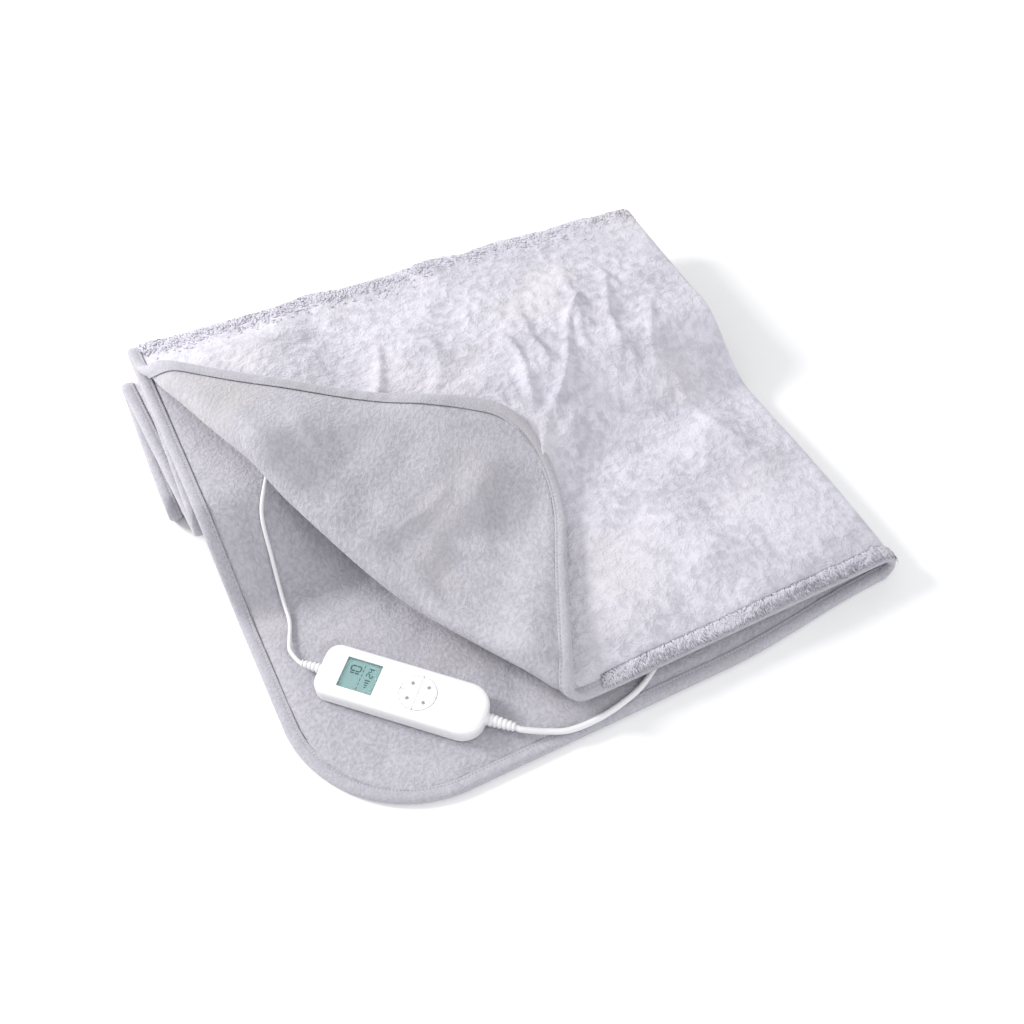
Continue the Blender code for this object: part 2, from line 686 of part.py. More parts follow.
def build_case(frame):
    bottom = loft("controller_bottom_cover", [
        case_ring(0.0035, 0.0), case_ring(0.0010, 0.0008), case_ring(0.0, 0.0035),
        case_ring(0.0, SPLIT_Z - GAP / 2),
        case_ring(WALL, SPLIT_Z - GAP / 2), case_ring(WALL, WALL),
    ], "shell", frame)
    top = loft("controller_top_cover", [
        case_ring(0.0060, CASE_H), case_ring(0.0032, CASE_H - 0.0003), case_ring(0.0012, CASE_H - 0.0013),
        case_ring(0.0003, CASE_H - 0.0032), case_ring(0.0, CASE_H - 0.0060),
        case_ring(0.0, SPLIT_Z + GAP / 2),
        case_ring(WALL, SPLIT_Z + GAP / 2), case_ring(WALL, CASE_H - 0.0060),
        case_ring(0.0032, CASE_H - 0.0030),
        case_ring(0.0060, CASE_H - WALL),
    ], "shell", frame)
    for k, (u, v) in enumerate(BOSSES):
        boss = turned(f"boss_{k}", ((0.0024, 0), (0.0024, 0.003), (CASE_H - 0.001, 0.003),
                                    (CASE_H - 0.001, 0)), "shell",
                     frame, "z", (u, v, 0), 16)
        combine(top, boss, "UNION")
    for k, (u, v) in enumerate(BOSSES):
        drilled(top, (0.001, 0.0105), 0.0016, (u, v, 0), "z")
        drilled(bottom, (-0.001, 0.003), 0.0016, (u, v, 0), "z")
        screw = ((0.0002, 0), (0.0002, 0.0013), (0.0095, 0.0013), (0.0100, 0.0008), (0.0100, 0))
        turned(f"case_screw_{k + 1}", screw, "steel", frame, "z", (u, v, 0), 12)
    for k, (u, v) in enumerate(((-0.052, 0.014), (-0.052, -0.014), (0.050, 0.014), (0.050, -0.014))):
        post = turned(f"post_{k}", ((0.001, 0), (0.001, 0.0024), (BOARD_Z - GAP, 0.0024),
                                    (BOARD_Z - GAP, 0)), "shell",
                     frame, "z", (u, v, 0), 12)
        combine(bottom, post, "UNION")
    for cover in (bottom, top):
        drilled(cover, (-0.090, -0.075), 0.0036, (0, 0, SPLIT_Z))
        drilled(cover, (0.075, 0.090), 0.0046, (0, 0, SPLIT_Z))
    window = box("lcd_opening", (LCD_U - 0.0173, -0.0158, 0.012), (LCD_U + 0.0173, 0.0158, 0.03), "black",
                 frame)
    combine(top, window, "DIFFERENCE")
    drilled(top, (0.012, 0.03), KEYS_R, (KEYS_U, 0, 0), "z")
    return bottom, top


def build_display(frame):
    """Window, display glass and backlight, stacked over the board."""
    w, h = LCD_SIZE[0] / 2, LCD_SIZE[1] / 2
    pane = box("lcd_window", (LCD_U - w, -h, 0.0158), (LCD_U + w, h, CASE_H - 0.0004), "screen", frame)
    flange = box("pane_flange", (LCD_U - w - 0.0017, -h - 0.0017, 0.0155),
                 (LCD_U + w + 0.0017, h + 0.0017, 0.0166),
                 "screen", frame)
    combine(pane, flange, "UNION")
    box("lcd_glass", (LCD_U - 0.018, -0.017, 0.0124), (LCD_U + 0.018, 0.017, 0.0152), "screen", frame, 0.0003)
    box("lcd_backlight", (LCD_U - 0.0178, -0.0168, 0.0095), (LCD_U + 0.0178, 0.0168, 0.0121), "key", frame,
        0.0003)


def build_board(frame):
    low, high, width = BOARD
    box("circuit_board", (low, -width / 2, BOARD_Z), (high, width / 2, BOARD_Z + BOARD_T), "board", frame)
    top = BOARD_Z + BOARD_T + GAP
    turned("fuse", ((0.036, 0), (0.036, 0.0026), (0.041, 0.0026), (0.041, 0.0023), (0.051, 0.0023),
                    (0.051, 0.0026),
                   (0.056, 0.0026), (0.056, 0)), "steel", frame, "x", (0, -0.014, top + 0.0027), 16)
    box("capacitor", (0.042, 0.002, top), (0.0555, 0.0075, top + 0.0068), "amber", frame, 0.0006)
    box("triac", (0.040, 0.011, top), (0.050, 0.019, top + 0.0044), "black", frame, 0.0004)


def build_keys(frame):
    """Four quarter-round keys in one ring, each over its own switch."""
    for k in range(4):
        turn = math.pi / 2 * k
        name = ("key_up", "key_left", "key_down", "key_right")[k]
        hub = empty(name + "_axis", (KEYS_U, 0, 0), turn + math.pi / 4, frame)

        def sector(radius, z):
            start = math.asin(0.0003 / radius)
            arc = [start + (math.pi / 2 - 2 * start) * i / 8 for i in range(9)]
            points = [(0.0003 * math.sqrt(2), 0.0)] + [(radius * math.cos(a - math.pi / 4),
                                                       radius * math.sin(a - math.pi / 4)) for a in arc]
            return [(x, y, z) for x, y in points]

        key = loft(name, [sector(0.0196, 0.0150), sector(0.0196, 0.0166), sector(0.0177, 0.0166),
                          sector(0.0177, CASE_H + 0.0001), sector(0.0173, CASE_H + 0.0005)], "key", hub)
        stem = turned(name + "_stem", ((0.0139, 0), (0.0139, 0.002), (0.0155, 0.002), (0.0155, 0)), "key",
                      hub, "z",
                     (0.0115, 0, 0), 12)
        combine(key, stem, "UNION")
        low = BOARD_Z + BOARD_T + GAP
        switch = box(f"switch_{name[4:]}", (0.0085, -0.003, low), (0.0145, 0.003, low + 0.0030), "black", hub)
        button = turned(name + "_button", ((low + 0.002, 0), (low + 0.002, 0.0016), (low + 0.0038, 0.0016),
                                          (low + 0.0038, 0)), "black", hub, "z", (0.0115, 0, 0), 12)
        combine(switch, button, "UNION")


def relief(name, way, wall, reach, cord_r, neck_r, tip_r, frame, height):
    """A ribbed rubber sleeve: a flange inside the wall, a neck through it, ribs tapering to the tip."""
    bore = cord_r + GAP
    inner = wall - 0.002 - GAP
    profile = [(inner - 0.0017, neck_r + 0.0012), (inner, neck_r + 0.0012), (inner, neck_r),
               (wall + GAP, neck_r)]
    ribs = 4
    span = reach / ribs
    for k in range(ribs):
        r = neck_r + 0.0008 + (tip_r - neck_r - 0.0008) * k / (ribs - 1)
        start = wall + GAP + k * span
        profile += [(start, r), (start + span * 0.60, r), (start + span * 0.66, r - 0.0006),
                    (start + span, r - 0.0006)]
    profile += [(wall + GAP + reach, bore), (inner - 0.0017, bore)]
    profile = [(way * u, r) for u, r in profile]
    return turned(name, profile, "cord", frame, "x", (0, 0, height), 12, closed=True)


def build_controller():
    frame = empty("controller_frame", (PAD_CENTRE[0], PAD_CENTRE[1], FLOOR_CLOTH + GAP), HEADING, ORIGIN)
    build_case(frame)
    build_display(frame)
    build_board(frame)
    build_keys(frame)
    relief("lead_strain_relief", -1, CASE_L / 2, 0.020, LEAD_R, 0.0033, 0.0035, frame, SPLIT_Z)
    relief("mains_strain_relief", 1, CASE_L / 2, 0.026, MAINS_R, 0.0043, 0.0046, frame, SPLIT_Z)
    for name, low, high, r in (("lead_cord_anchor", -0.075, -0.070, LEAD_R),
                               ("mains_cord_anchor", 0.070, 0.0745, MAINS_R)):
        anchor = box(name, (low, -0.0075, 0.0024), (high, 0.0075, 0.0130), "shell", frame)
        drilled(anchor, (low - 0.002, high + 0.002), r + GAP, (0, 0, SPLIT_Z))


def controller_point(u, z=SPLIT_Z):
    """A point on the controller's long axis, in the throw's frame."""
    return (PAD_CENTRE[0] + u * math.cos(HEADING), PAD_CENTRE[1] + u * math.sin(HEADING), FLOOR_CLOTH + GAP
            + z)


# ================= blanket connector =================
def connector_base():
    """Height of the connector's underside: just over the highest cloth under it."""
    spots = []
    for u in (-0.045, -0.02, 0.0, 0.026):
        for v in (-0.013, 0.0, 0.013):
            x = CONNECTOR_AT[0] + u * math.cos(CONNECTOR_HEADING) - v * math.sin(CONNECTOR_HEADING)
            y = CONNECTOR_AT[1] + u * math.sin(CONNECTOR_HEADING) + v * math.cos(CONNECTOR_HEADING)
            spots.append(rest_height(x, y))
    return max(spots) + 0.0004


CONNECTOR_Z = connector_base()
AXIS_Z = 0.0063             # height of the plug's axis over the flange's underside


def connector_point(u, z=AXIS_Z):
    return (CONNECTOR_AT[0] + u * math.cos(CONNECTOR_HEADING), CONNECTOR_AT[1] + u
            * math.sin(CONNECTOR_HEADING),
            CONNECTOR_Z + z)


def build_connector():
    frame = empty("connector_frame", (CONNECTOR_AT[0], CONNECTOR_AT[1], CONNECTOR_Z), CONNECTOR_HEADING,
                  ORIGIN)
    box("socket_flange", (0.001, -0.013, 0.0), (0.027, 0.013, 0.0012), "shell", frame)
    socket = box("blanket_socket", (0.0, -0.010, 0.0015), (SOCKET_L, 0.010, 0.0111), "shell", frame, 0.0015)
    cavity = box("socket_cavity", (-0.002, -0.0063, AXIS_Z - 0.0033), (0.0096, 0.0063, AXIS_Z + 0.0033),
                 "black", frame)
    combine(socket, cavity, "DIFFERENCE")
    sliding = empty("release_axis", (0, 0, 0), 0.0, frame)
    plug = box("lead_plug", (-PLUG_L - GAP, -0.009, 0.0016), (-GAP, 0.009, 0.0110), "shell", sliding, 0.0015)
    nose = box("plug_nose", (-0.003, -0.006, AXIS_Z - 0.003), (NOSE_L - GAP, 0.006, AXIS_Z + 0.003), "shell",
               sliding)
    combine(plug, nose, "UNION")
    for k, v in enumerate((-0.003, 0.003)):
        drilled(socket, (0.005, 0.0163), 0.0012, (0, v, AXIS_Z))
        turned(f"socket_pin_{k + 1}", ((0.0015, 0), (0.0018, 0.0006), (0.0024, 0.0009), (0.016, 0.0009),
                                       (0.016, 0)), "brass",
              frame, "x", (0, v, AXIS_Z), 12)
        drilled(plug, (-0.006, 0.012), 0.0022, (0, v, AXIS_Z))
        turned(f"plug_contact_{k + 1}", ((-0.0057, 0.0012), (-0.0057, 0.0019), (0.0084, 0.0019),
                                         (0.0084, 0.0012)), "brass",
              sliding, "x", (0, v, AXIS_Z), 12, closed=True)
    back = -PLUG_L - GAP
    drilled(plug, (back - 0.001, -0.012), LEAD_R + GAP, (0, 0, AXIS_Z))
    drilled(plug, (back - 0.001, back + 0.004), 0.0036, (0, 0, AXIS_Z))
    ribs = [(back + 0.0037, 0.0033), (back - GAP, 0.0033), (back - GAP, 0.0042), (back - 0.004, 0.0041),
            (back - 0.0042, 0.0034),
            (back - 0.007, 0.0033), (back - 0.0072, 0.0038), (back - 0.0105, 0.0037), (back - 0.0107, 0.0030),
            (back - 0.0155, 0.0028), (back - 0.0155, LEAD_R + GAP), (back + 0.0037, LEAD_R + GAP)]
    turned("lead_plug_relief", ribs, "cord", sliding, "x", (0, 0, AXIS_Z), 16, closed=True)


# ================= cords =================
def lead_line():
    """The thin lead: out of the controller's end, over the ramp and under the turned corner to its plug."""
    out = [(0.0340, 0.1990), (0.0380, 0.2130), (0.0450, 0.2320), (0.0475, 0.2560), (0.0525, 0.2880),
           (0.0590, 0.3190)]
    lift = [0.0062, 0.0038, 0.0034, 0.0044, 0.0048, 0.0050]
    points = [controller_point(-0.066)] + [controller_point(-CASE_L / 2 - u) for u in (0.012, 0.022, 0.027)]
    points += [(x, y, rest_height(x, y) + up) for (x, y), up in zip(out, lift)]
    points += [connector_point(u) for u in (-0.0490, -0.0450, -0.0250, -0.0135)]
    return smooth_line(points, 5 * LEAD_R)


PLUG_AT = (0.325, 0.195)
PLUG_HEADING = math.radians(180)
COIL_Z = FLOOR_CLOTH + GAP + COIL_HALF
PLUG_Z = 0.0165
COIL_ENTRY = -80           # where the cord joins the coil, in degrees round it, and where it leaves
COIL_EXIT = 80


def coil_point(degrees, radius, z):
    a = math.radians(degrees)
    return (COIL_CENTRE[0] + radius * math.cos(a), COIL_CENTRE[1] + radius * math.sin(a), z)


def mains_line():
    """The mains cord from the controller, under the upper ply's front edge, to its coil."""
    straight = [controller_point(u) for u in (0.066, CASE_L / 2 + 0.014, CASE_L / 2 + 0.028, CASE_L / 2
                                              + 0.034)]
    out = [(0.2145, 0.0165), (0.2350, 0.0085), (0.2640, 0.0068), (0.2930, 0.0110), (0.3180, 0.0185),
           (0.3480, 0.0370),
           (0.3760, 0.0590), (0.3940, 0.0700)]
    lift = [0.0045] + [0.0036] * 7
    laid_out = [(x, y, rest_height(x, y) + up) for (x, y), up in zip(out, lift)]
    meet = coil_point(COIL_ENTRY, COIL_MID_R + COIL_HALF + MAINS_R + GAP, COIL_Z - 0.0045)
    return smooth_line(straight + laid_out + [meet], 5 * MAINS_R)


def tail_line():
    """The cord's last stretch, from the coil to its plug."""
    start = coil_point(COIL_EXIT, COIL_MID_R + COIL_HALF + MAINS_R + GAP, COIL_Z + 0.002)
    u, v = math.cos(PLUG_HEADING), math.sin(PLUG_HEADING)
    points = [start, (start[0] - 0.026, start[1] + 0.0062, COIL_Z), (start[0] - 0.052, start[1] + 0.0098,
                                                                     COIL_Z - 0.001)]
    for back in (0.046, 0.042, 0.024, 0.006):
        points.append((PLUG_AT[0] - back * u, PLUG_AT[1] - back * v, PLUG_Z))
    return smooth_line(points, 5 * MAINS_R)


def build_coil():
    """Eight turns in a tied bundle: its outer shape."""
    centre = (COIL_CENTRE[0], COIL_CENTRE[1], COIL_Z)
    section = []
    for k in range(8):
        a = math.pi / 4 * (k + 0.5)
        reach = COIL_HALF / math.cos(math.pi / 8)
        section.append((reach * math.sin(a), COIL_MID_R + reach * math.cos(a)))
    turned("mains_coil", section, "cord", ORIGIN, "z", centre, 28, closed=True)


def build_mains_plug():
    frame = empty("mains_plug_frame", (PLUG_AT[0], PLUG_AT[1], PLUG_Z), PLUG_HEADING, ORIGIN)
    body = box("mains_plug", (-0.0175, -0.013, -0.0065), (0.0175, 0.013, 0.0065), "cord", frame, 0.003)
    drilled(body, (-0.020, -0.004), MAINS_R + GAP, (0, 0, 0))
    drilled(body, (-0.020, -0.0135), 0.0046, (0, 0, 0))
    for k, v in enumerate((-0.0095, 0.0095)):
        drilled(body, (0.008, 0.020), 0.0023, (0, v, 0))
        turned(f"plug_pin_{k + 1}", ((0.0085, 0), (0.0085, 0.002), (0.0350, 0.002), (0.0365, 0.0012),
                                     (0.0365, 0)), "brass",
              frame, "x", (0, v, 0), 14)
    back = -0.0175
    ribs = [(back + 0.0037, 0.0043), (back - GAP, 0.0043), (back - GAP, 0.0052), (back - 0.005, 0.0051),
            (back - 0.0053, 0.0042),
            (back - 0.009, 0.0041), (back - 0.0093, 0.0048), (back - 0.014, 0.0047), (back - 0.0143, 0.0039),
            (back - 0.020, 0.0038), (back - 0.020, MAINS_R + GAP), (back + 0.0037, MAINS_R + GAP)]
    turned("mains_plug_relief", ribs, "cord", frame, "x", (0, 0, 0), 16, closed=True)


build_controller()
build_connector()
build_mains_plug()
build_coil()
tube("lead_cord", lead_line(), LEAD_R, "cord")
tube("mains_cord", mains_line(), MAINS_R, "cord")
tube("mains_tail", tail_line(), MAINS_R, "cord")
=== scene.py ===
# %% [markdown]
# # A heated plush throw, folded, with its hand controller
# The real thing is a flat electric throw: a fleece-backed lining, a heating wire and a deep plush
# cover, bound all round with a soft tape. It is folded into a pile, one corner of the top ply is
# turned back, and the controller rests on the lining that shows there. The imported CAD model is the
# fixed frame, and every piece below is made in its coordinates, in metres.

# %% Load the frame
import math

import bmesh
import bpy
import numpy as np
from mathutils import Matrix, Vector


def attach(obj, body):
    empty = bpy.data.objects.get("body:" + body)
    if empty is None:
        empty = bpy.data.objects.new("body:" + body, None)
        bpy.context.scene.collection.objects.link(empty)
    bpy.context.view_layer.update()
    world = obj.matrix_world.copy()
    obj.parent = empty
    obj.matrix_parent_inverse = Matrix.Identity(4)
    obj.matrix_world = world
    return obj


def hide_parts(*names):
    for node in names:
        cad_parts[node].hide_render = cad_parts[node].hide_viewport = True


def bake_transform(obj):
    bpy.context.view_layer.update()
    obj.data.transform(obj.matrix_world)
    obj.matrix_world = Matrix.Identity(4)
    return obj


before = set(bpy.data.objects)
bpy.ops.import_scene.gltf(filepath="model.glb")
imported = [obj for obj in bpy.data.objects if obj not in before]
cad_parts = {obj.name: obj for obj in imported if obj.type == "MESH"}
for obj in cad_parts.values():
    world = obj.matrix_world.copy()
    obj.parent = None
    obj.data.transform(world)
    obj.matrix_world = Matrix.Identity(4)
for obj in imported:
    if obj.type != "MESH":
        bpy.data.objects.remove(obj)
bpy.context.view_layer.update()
CORNER = np.array([0.294, 0.28775, 0.0])   # the throw's left front corner lies this far back from the origin

# %% [markdown]
# ## Camera
# A product shot looks down at a folded throw from a bit more than half-way up, from its front left.
# The camera looks along one line, given as an azimuth and an elevation.

# %% Camera
EYE = (-0.3155, -0.67255, 1.0035)
AZIMUTH, ELEVATION = math.radians(-26.573), math.radians(54.322)
BACK = Vector((math.sin(AZIMUTH) * math.cos(ELEVATION),
               -math.cos(AZIMUTH) * math.cos(ELEVATION), math.sin(ELEVATION)))
camera = bpy.data.objects.new("camera", bpy.data.cameras.new("camera"))
camera.location = EYE
camera.rotation_euler = (-BACK).to_track_quat("-Z", "Y").to_euler()
camera.data.lens, camera.data.sensor_width = 41.36, 36.0
camera.data.clip_start = 0.01
bpy.context.collection.objects.link(camera)
bpy.context.scene.camera = camera

# %% [markdown]
# ## Turning arrays into pieces
# Every new surface is worked out as whole numpy arrays and put into a mesh in one go. A grid of
# points becomes quads; a UV map takes whatever two numbers belong to each point, here always in
# metres, so that a weave or a stitch has the same size everywhere.

# %% Mesh helpers
def mesh_piece(name, points, quads, uv=None, triangles=None):
    """A smooth-shaded object from an array of points and arrays of point numbers, four or three to a face."""
    faces = quads.tolist() + ([] if triangles is None else triangles.tolist())
    mesh = bpy.data.meshes.new(name)
    mesh.from_pydata(points.tolist(), [], faces)
    if uv is not None:
        corner = np.empty(len(mesh.loops), dtype=np.int32)
        mesh.loops.foreach_get("vertex_index", corner)
        flat = np.asarray(uv)[corner].astype(np.float32).ravel()
        mesh.uv_layers.new(name="flat").data.foreach_set("uv", flat)
    mesh.polygons.foreach_set("use_smooth", np.ones(len(faces), dtype=bool))
    mesh.update()
    piece = bpy.data.objects.new(name, mesh)
    bpy.context.collection.objects.link(piece)
    return piece


def grid_quads(rows, columns, close_rows=False, close_columns=False):
    """Quads of a grid: (i, j), (i, j+1), (i+1, j+1) and (i+1, j); a closed side joins up with the first."""
    i = np.arange(rows if close_rows else rows - 1)[:, None]
    j = np.arange(columns if close_columns else columns - 1)[None, :]
    i2, j2 = (i + 1) % rows, (j + 1) % columns
    a, b = i * columns, i2 * columns
    return np.stack([a + j, a + j2, b + j2, b + j], -1).reshape(-1, 4)


def running_length(line):
    """Length of the line up to each of its points."""
    return np.concatenate([[0], np.cumsum(np.linalg.norm(np.diff(line, axis=0), axis=1))])


def smooth_line(points, spacing, span_steps=24):
    """Catmull-Rom curve through the points, sampled again at an even distance."""
    pts = np.array(points, float)
    ends = np.vstack([2 * pts[0] - pts[1], pts, 2 * pts[-1] - pts[-2]])
    t = np.linspace(0, 1, span_steps, endpoint=False)[:, None]
    spans = []
    for i in range(1, len(ends) - 2):
        a, b, c, d = ends[i - 1:i + 3]
        spans.append(0.5 * (2 * b + (c - a) * t + (2 * a - 5 * b + 4 * c - d) * t ** 2
                            + (3 * b - a - 3 * c + d) * t ** 3))
    return resampled(np.vstack(spans + [pts[-1:]]), spacing)


def resampled(line, spacing):
    """The same line with points an even distance apart."""
    run = running_length(line)
    places = np.linspace(0, run[-1], max(int(round(run[-1] / spacing)), 2) + 1)
    return np.stack([np.interp(places, run, line[:, k]) for k in range(3)], -1)


def line_length(line):
    return float(running_length(line)[-1])


def tube(name, line, radius, sides=16):
    """A round section carried along a line: centre + radius (cos t side + sin t up), closed by two points."""
    ahead = np.gradient(line, axis=0)
    ahead /= np.linalg.norm(ahead, axis=1, keepdims=True)
    side = np.cross(ahead, [0.0, 0.0, 1.0])
    side /= np.linalg.norm(side, axis=1, keepdims=True)
    up = np.cross(side, ahead)
    t = np.linspace(0, 2 * math.pi, sides, endpoint=False)
    rings = line[:, None] + radius * (np.cos(t)[:, None] * side[:, None] + np.sin(t)[:, None] * up[:, None])
    points = np.vstack([rings.reshape(-1, 3), line[:1], line[-1:]])
    n = len(line)
    j = np.arange(sides)
    start = np.stack([np.full(sides, n * sides), j, (j + 1) % sides], -1)
    last = (n - 1) * sides
    end = np.stack([np.full(sides, n * sides + 1), last + (j + 1) % sides, last + j], -1)
    uv = np.stack(np.meshgrid(radius * t, running_length(line)), -1).reshape(-1, 2)
    quads = grid_quads(n, sides, close_columns=True)[:, ::-1]
    return mesh_piece(name, points, quads, np.vstack([uv, uv[:1], uv[-1:]]), np.vstack([start, end]))

# %% [markdown]
# ## Cords
# Two leads leave the controller. The thin one runs under the turned-back corner to its connector on
# the lining. The mains lead leaves the other end, dips under the front edge of the top ply, and the
# rest of it is put away in a wound coil inside the fold, with its plug beside it. A wound coil is
# one long helix whose turns lie beside and on each other, so its path goes round eight sites of a
# square packing: it keeps each site for 240 degrees and eases over to the next in 80.

# %% Where the two leads run
LEAD_R, MAINS_R = 0.002, 0.003
LEAD_ROUTE = [
    (-0.2287, -0.1330, 0.0172), (-0.2492, -0.1133, 0.0172), (-0.2563, -0.1062, 0.0172),
    (-0.2600, -0.0888, 0.0146), (-0.2560, -0.0748, 0.0122), (-0.2490, -0.0558, 0.0116),
    (-0.2465, -0.0318, 0.0166), (-0.2415, 0.0003, 0.0442), (-0.2350, 0.0313, 0.0765),
    (-0.2159, 0.0595, 0.0949), (-0.2143, 0.0631, 0.0951), (-0.2062, 0.0814, 0.0951),
    (-0.2015, 0.0919, 0.0951)]
MAINS_ROUTE = [
    (-0.1351, -0.2262, 0.0172), (-0.1134, -0.2476, 0.0172), (-0.1035, -0.2575, 0.0172),
    (-0.0992, -0.2617, 0.0168), (-0.0795, -0.2715, 0.0130), (-0.0590, -0.2795, 0.0120),
    (-0.0300, -0.2810, 0.0120), (-0.0010, -0.2768, 0.0120), (0.0240, -0.2690, 0.0120),
    (0.0540, -0.2508, 0.0120), (0.0820, -0.2288, 0.0120), (0.1000, -0.2178, 0.0120),
    (0.1335, -0.2035, 0.0118)]
COIL_AT = np.array([0.146, -0.15075, 0.0177])
COIL_R, COIL_STEP = 0.036, 0.00605
SITES = ((2, 0), (1, 0), (0, 0), (0, 1), (0, 2), (1, 2), (1, 1), (2, 1))   # in the coil's section, (out, up)
STATION = math.radians(20)            # the angle between two points of the coil's path
SITE_STATIONS, HELD_STATIONS = 16, 12


def coil_line(first_angle):
    """A point is centre + (R + (i - 1) pitch)(cos a, sin a), at height (k - 1) pitch, for site (i, k)."""
    station = np.arange(SITE_STATIONS * len(SITES) - HELD_STATIONS)
    turn, part = station // SITE_STATIONS, station % SITE_STATIONS
    sites = np.array(SITES + SITES[-1:], float)
    t = np.clip((part - HELD_STATIONS) / (SITE_STATIONS - HELD_STATIONS), 0, 1)[:, None]
    i, k = (sites[turn] + (sites[turn + 1] - sites[turn]) * t * t * (3 - 2 * t)).T
    angle, radius = first_angle + STATION * station, COIL_R + (i - 1) * COIL_STEP
    return COIL_AT + np.stack([radius * np.cos(angle), radius * np.sin(angle), (k - 1) * COIL_STEP], -1)


coil = coil_line(math.radians(-62))
TAIL_ROUTE = [
    (0.1330, -0.0995, 0.0180), (0.1050, -0.0938, 0.0168), (0.0790, -0.0928, 0.0165),
    (0.0550, -0.09275, 0.0165), (0.0370, -0.09275, 0.0165)]
lead_line = smooth_line(LEAD_ROUTE, 0.003)
mains_line = smooth_line(MAINS_ROUTE + list(coil) + TAIL_ROUTE, 0.003)
print("lead", round(line_length(lead_line), 3), "m; mains lead", round(line_length(mains_line), 3), "m")

# %% Lay the leads
lead_cord = tube("controller_lead", lead_line, LEAD_R)
mains_cord = tube("mains_lead", mains_line, MAINS_R)
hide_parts("lead_cord")
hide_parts("mains_cord", "mains_coil", "mains_tail")
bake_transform(lead_cord)
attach(mains_cord, "throw")

# %% [markdown]
# ## Folding a flat sheet
# Cloth that is folded this sharply is easier to compute than to simulate: each point of the flat
# sheet has two coordinates, p across and q along, and a chain of simple maps carries it into the
# pile. First the sheet is laid out slack, then folded in half over its right edge, then its corner
# is turned back, and last its far end is wound down under the top panel in four turns.

# %% The throw's dimensions
HALF_WIDTH = 0.609             # the flat sheet is 1.218 m wide and folded once along its length
RIGHT_ARC = 0.024              # the width of sheet that goes round that fold
FOLD_X = HALF_WIDTH - RIGHT_ARC / 2
SHEET_WIDTH = 2 * HALF_WIDTH
CORNER_BOTTOM, CORNER_TOP = 0.13, 0.105          # radii of the corners at p = 0 and at p = SHEET_WIDTH
PLY, PITCH, TURN_R = 0.0084, 0.0096, 0.0102      # thickness, step from ply to ply, radius of a pile turn
HALF_PITCH = PITCH / 2
RAMP_FROM, RAMP_TO = 0.242, 0.350                # the lower ply climbs on to the pile between these
BACK_Y, UPPER_TURN_Y, LOWER_TURN_Y = 0.5555, 0.355, 0.416      # centres of the pile's turns
PILE_DROP = TURN_R - HALF_PITCH - PLY / 2
PANEL_MID = 9 * TURN_R + 0.0015 - PILE_DROP      # height of the middle of the top panel's two plies
SLACK, SLACK_X, SET_BACK = 0.045, 0.30, 0.020    # how the upper ply is fed on, over what width, and set back
SIDE_STEP, PILE_TAPER, TAPER_X = 0.024, 0.30, 0.6        # the pile steps left and gets thinner to the right
PILE_SKEW, BACK_SKEW, PILE_FRONT, PILE_BACK = 0.035, 0.010, 0.33, 0.5755
FLAP_START, FLAP_END = np.array([0.271, 0.012]), np.array([0.013, 0.536])   # the line of the corner's turn
FLAP_ALONG = (FLAP_END - FLAP_START) / np.linalg.norm(FLAP_END - FLAP_START)
FLAP_INWARD = np.array([FLAP_ALONG[1], -FLAP_ALONG[0]])
FLAP_R, FLAP_BOW, FLAP_REST, FLAP_SETTLE = 0.011, 0.026, 0.0145, 0.10
FLAP_LENGTH = 0.575
RIM_IN = 0.0112                # the layers end this far inside the tape's edge


def ease(t):
    """Smooth step: 3t^2 - 2t^3 between 0 and 1."""
    t = np.clip(t, 0, 1)
    return t * t * (3 - 2 * t)


def within(v, low, high, rise, fall):
    """One between low and high, easing in over rise and out over fall."""
    return ease((v - low) / rise) * ease((high - v) / fall)


def strip_path():
    """Middle line of the strip that goes down the pile: half circles joined by straight runs.
    Each row is (distance along, centre y, bulge, height, normal y, normal z)."""
    turns = ((BACK_Y, PANEL_MID, TURN_R + 0.00075, 1),
             (UPPER_TURN_Y, 7 * TURN_R - PILE_DROP, TURN_R, -1),
             (BACK_Y - 0.004, 5 * TURN_R - PILE_DROP, TURN_R, 1),
             (LOWER_TURN_Y, 3 * TURN_R - PILE_DROP, TURN_R, -1))
    rows, spans = [], []
    s = BACK_Y
    for y, z, radius, way in turns:
        if rows:
            s += abs(y - rows[-1][1])
        side = 1 if way > 0 else -1
        for a in np.linspace(0, math.pi, 25):
            rows.append((s + radius * a, y, side * radius * math.sin(a), z - radius + radius * math.cos(a),
                         math.sin(a), side * math.cos(a)))
        spans.append((s, s + radius * math.pi))
        s += radius * math.pi
    end_y = BACK_Y - 0.008
    s += abs(end_y - LOWER_TURN_Y)
    rows.append((s, end_y, 0.0, TURN_R - PILE_DROP, 0.0, 1.0))
    return np.array(rows), spans, s


PATH, TURN_SPANS, SHEET_LENGTH = strip_path()
print("the sheet is", SHEET_WIDTH, "by", round(SHEET_LENGTH, 3), "m when flat")

# %% The chain of maps
def laid(p, q):
    """Slack: the upper ply's free edge is set back and fed along, fading out towards the back."""
    upper = p > FOLD_X + RIGHT_ARC
    x = np.where(upper, SHEET_WIDTH - p, np.minimum(p, FOLD_X))
    turn = np.clip((p - FOLD_X) / RIGHT_ARC, 0, 1)
    slack = np.clip((SLACK_X - x) / SLACK_X, 0, 1)
    set_back = np.where(upper, SET_BACK, 0.014 * ease((x - 0.40) / 0.2) + 0.006 * turn)
    s = q + set_back * np.clip(1 - q / 0.4, 0, 1)
    s = s + np.where(upper, SLACK * ease(slack) * np.clip(1 - q / 0.52, 0, 1), 0)
    return p + np.where(upper, SLACK * slack * np.clip(1 - q / 0.5, 0, 1), 0), s


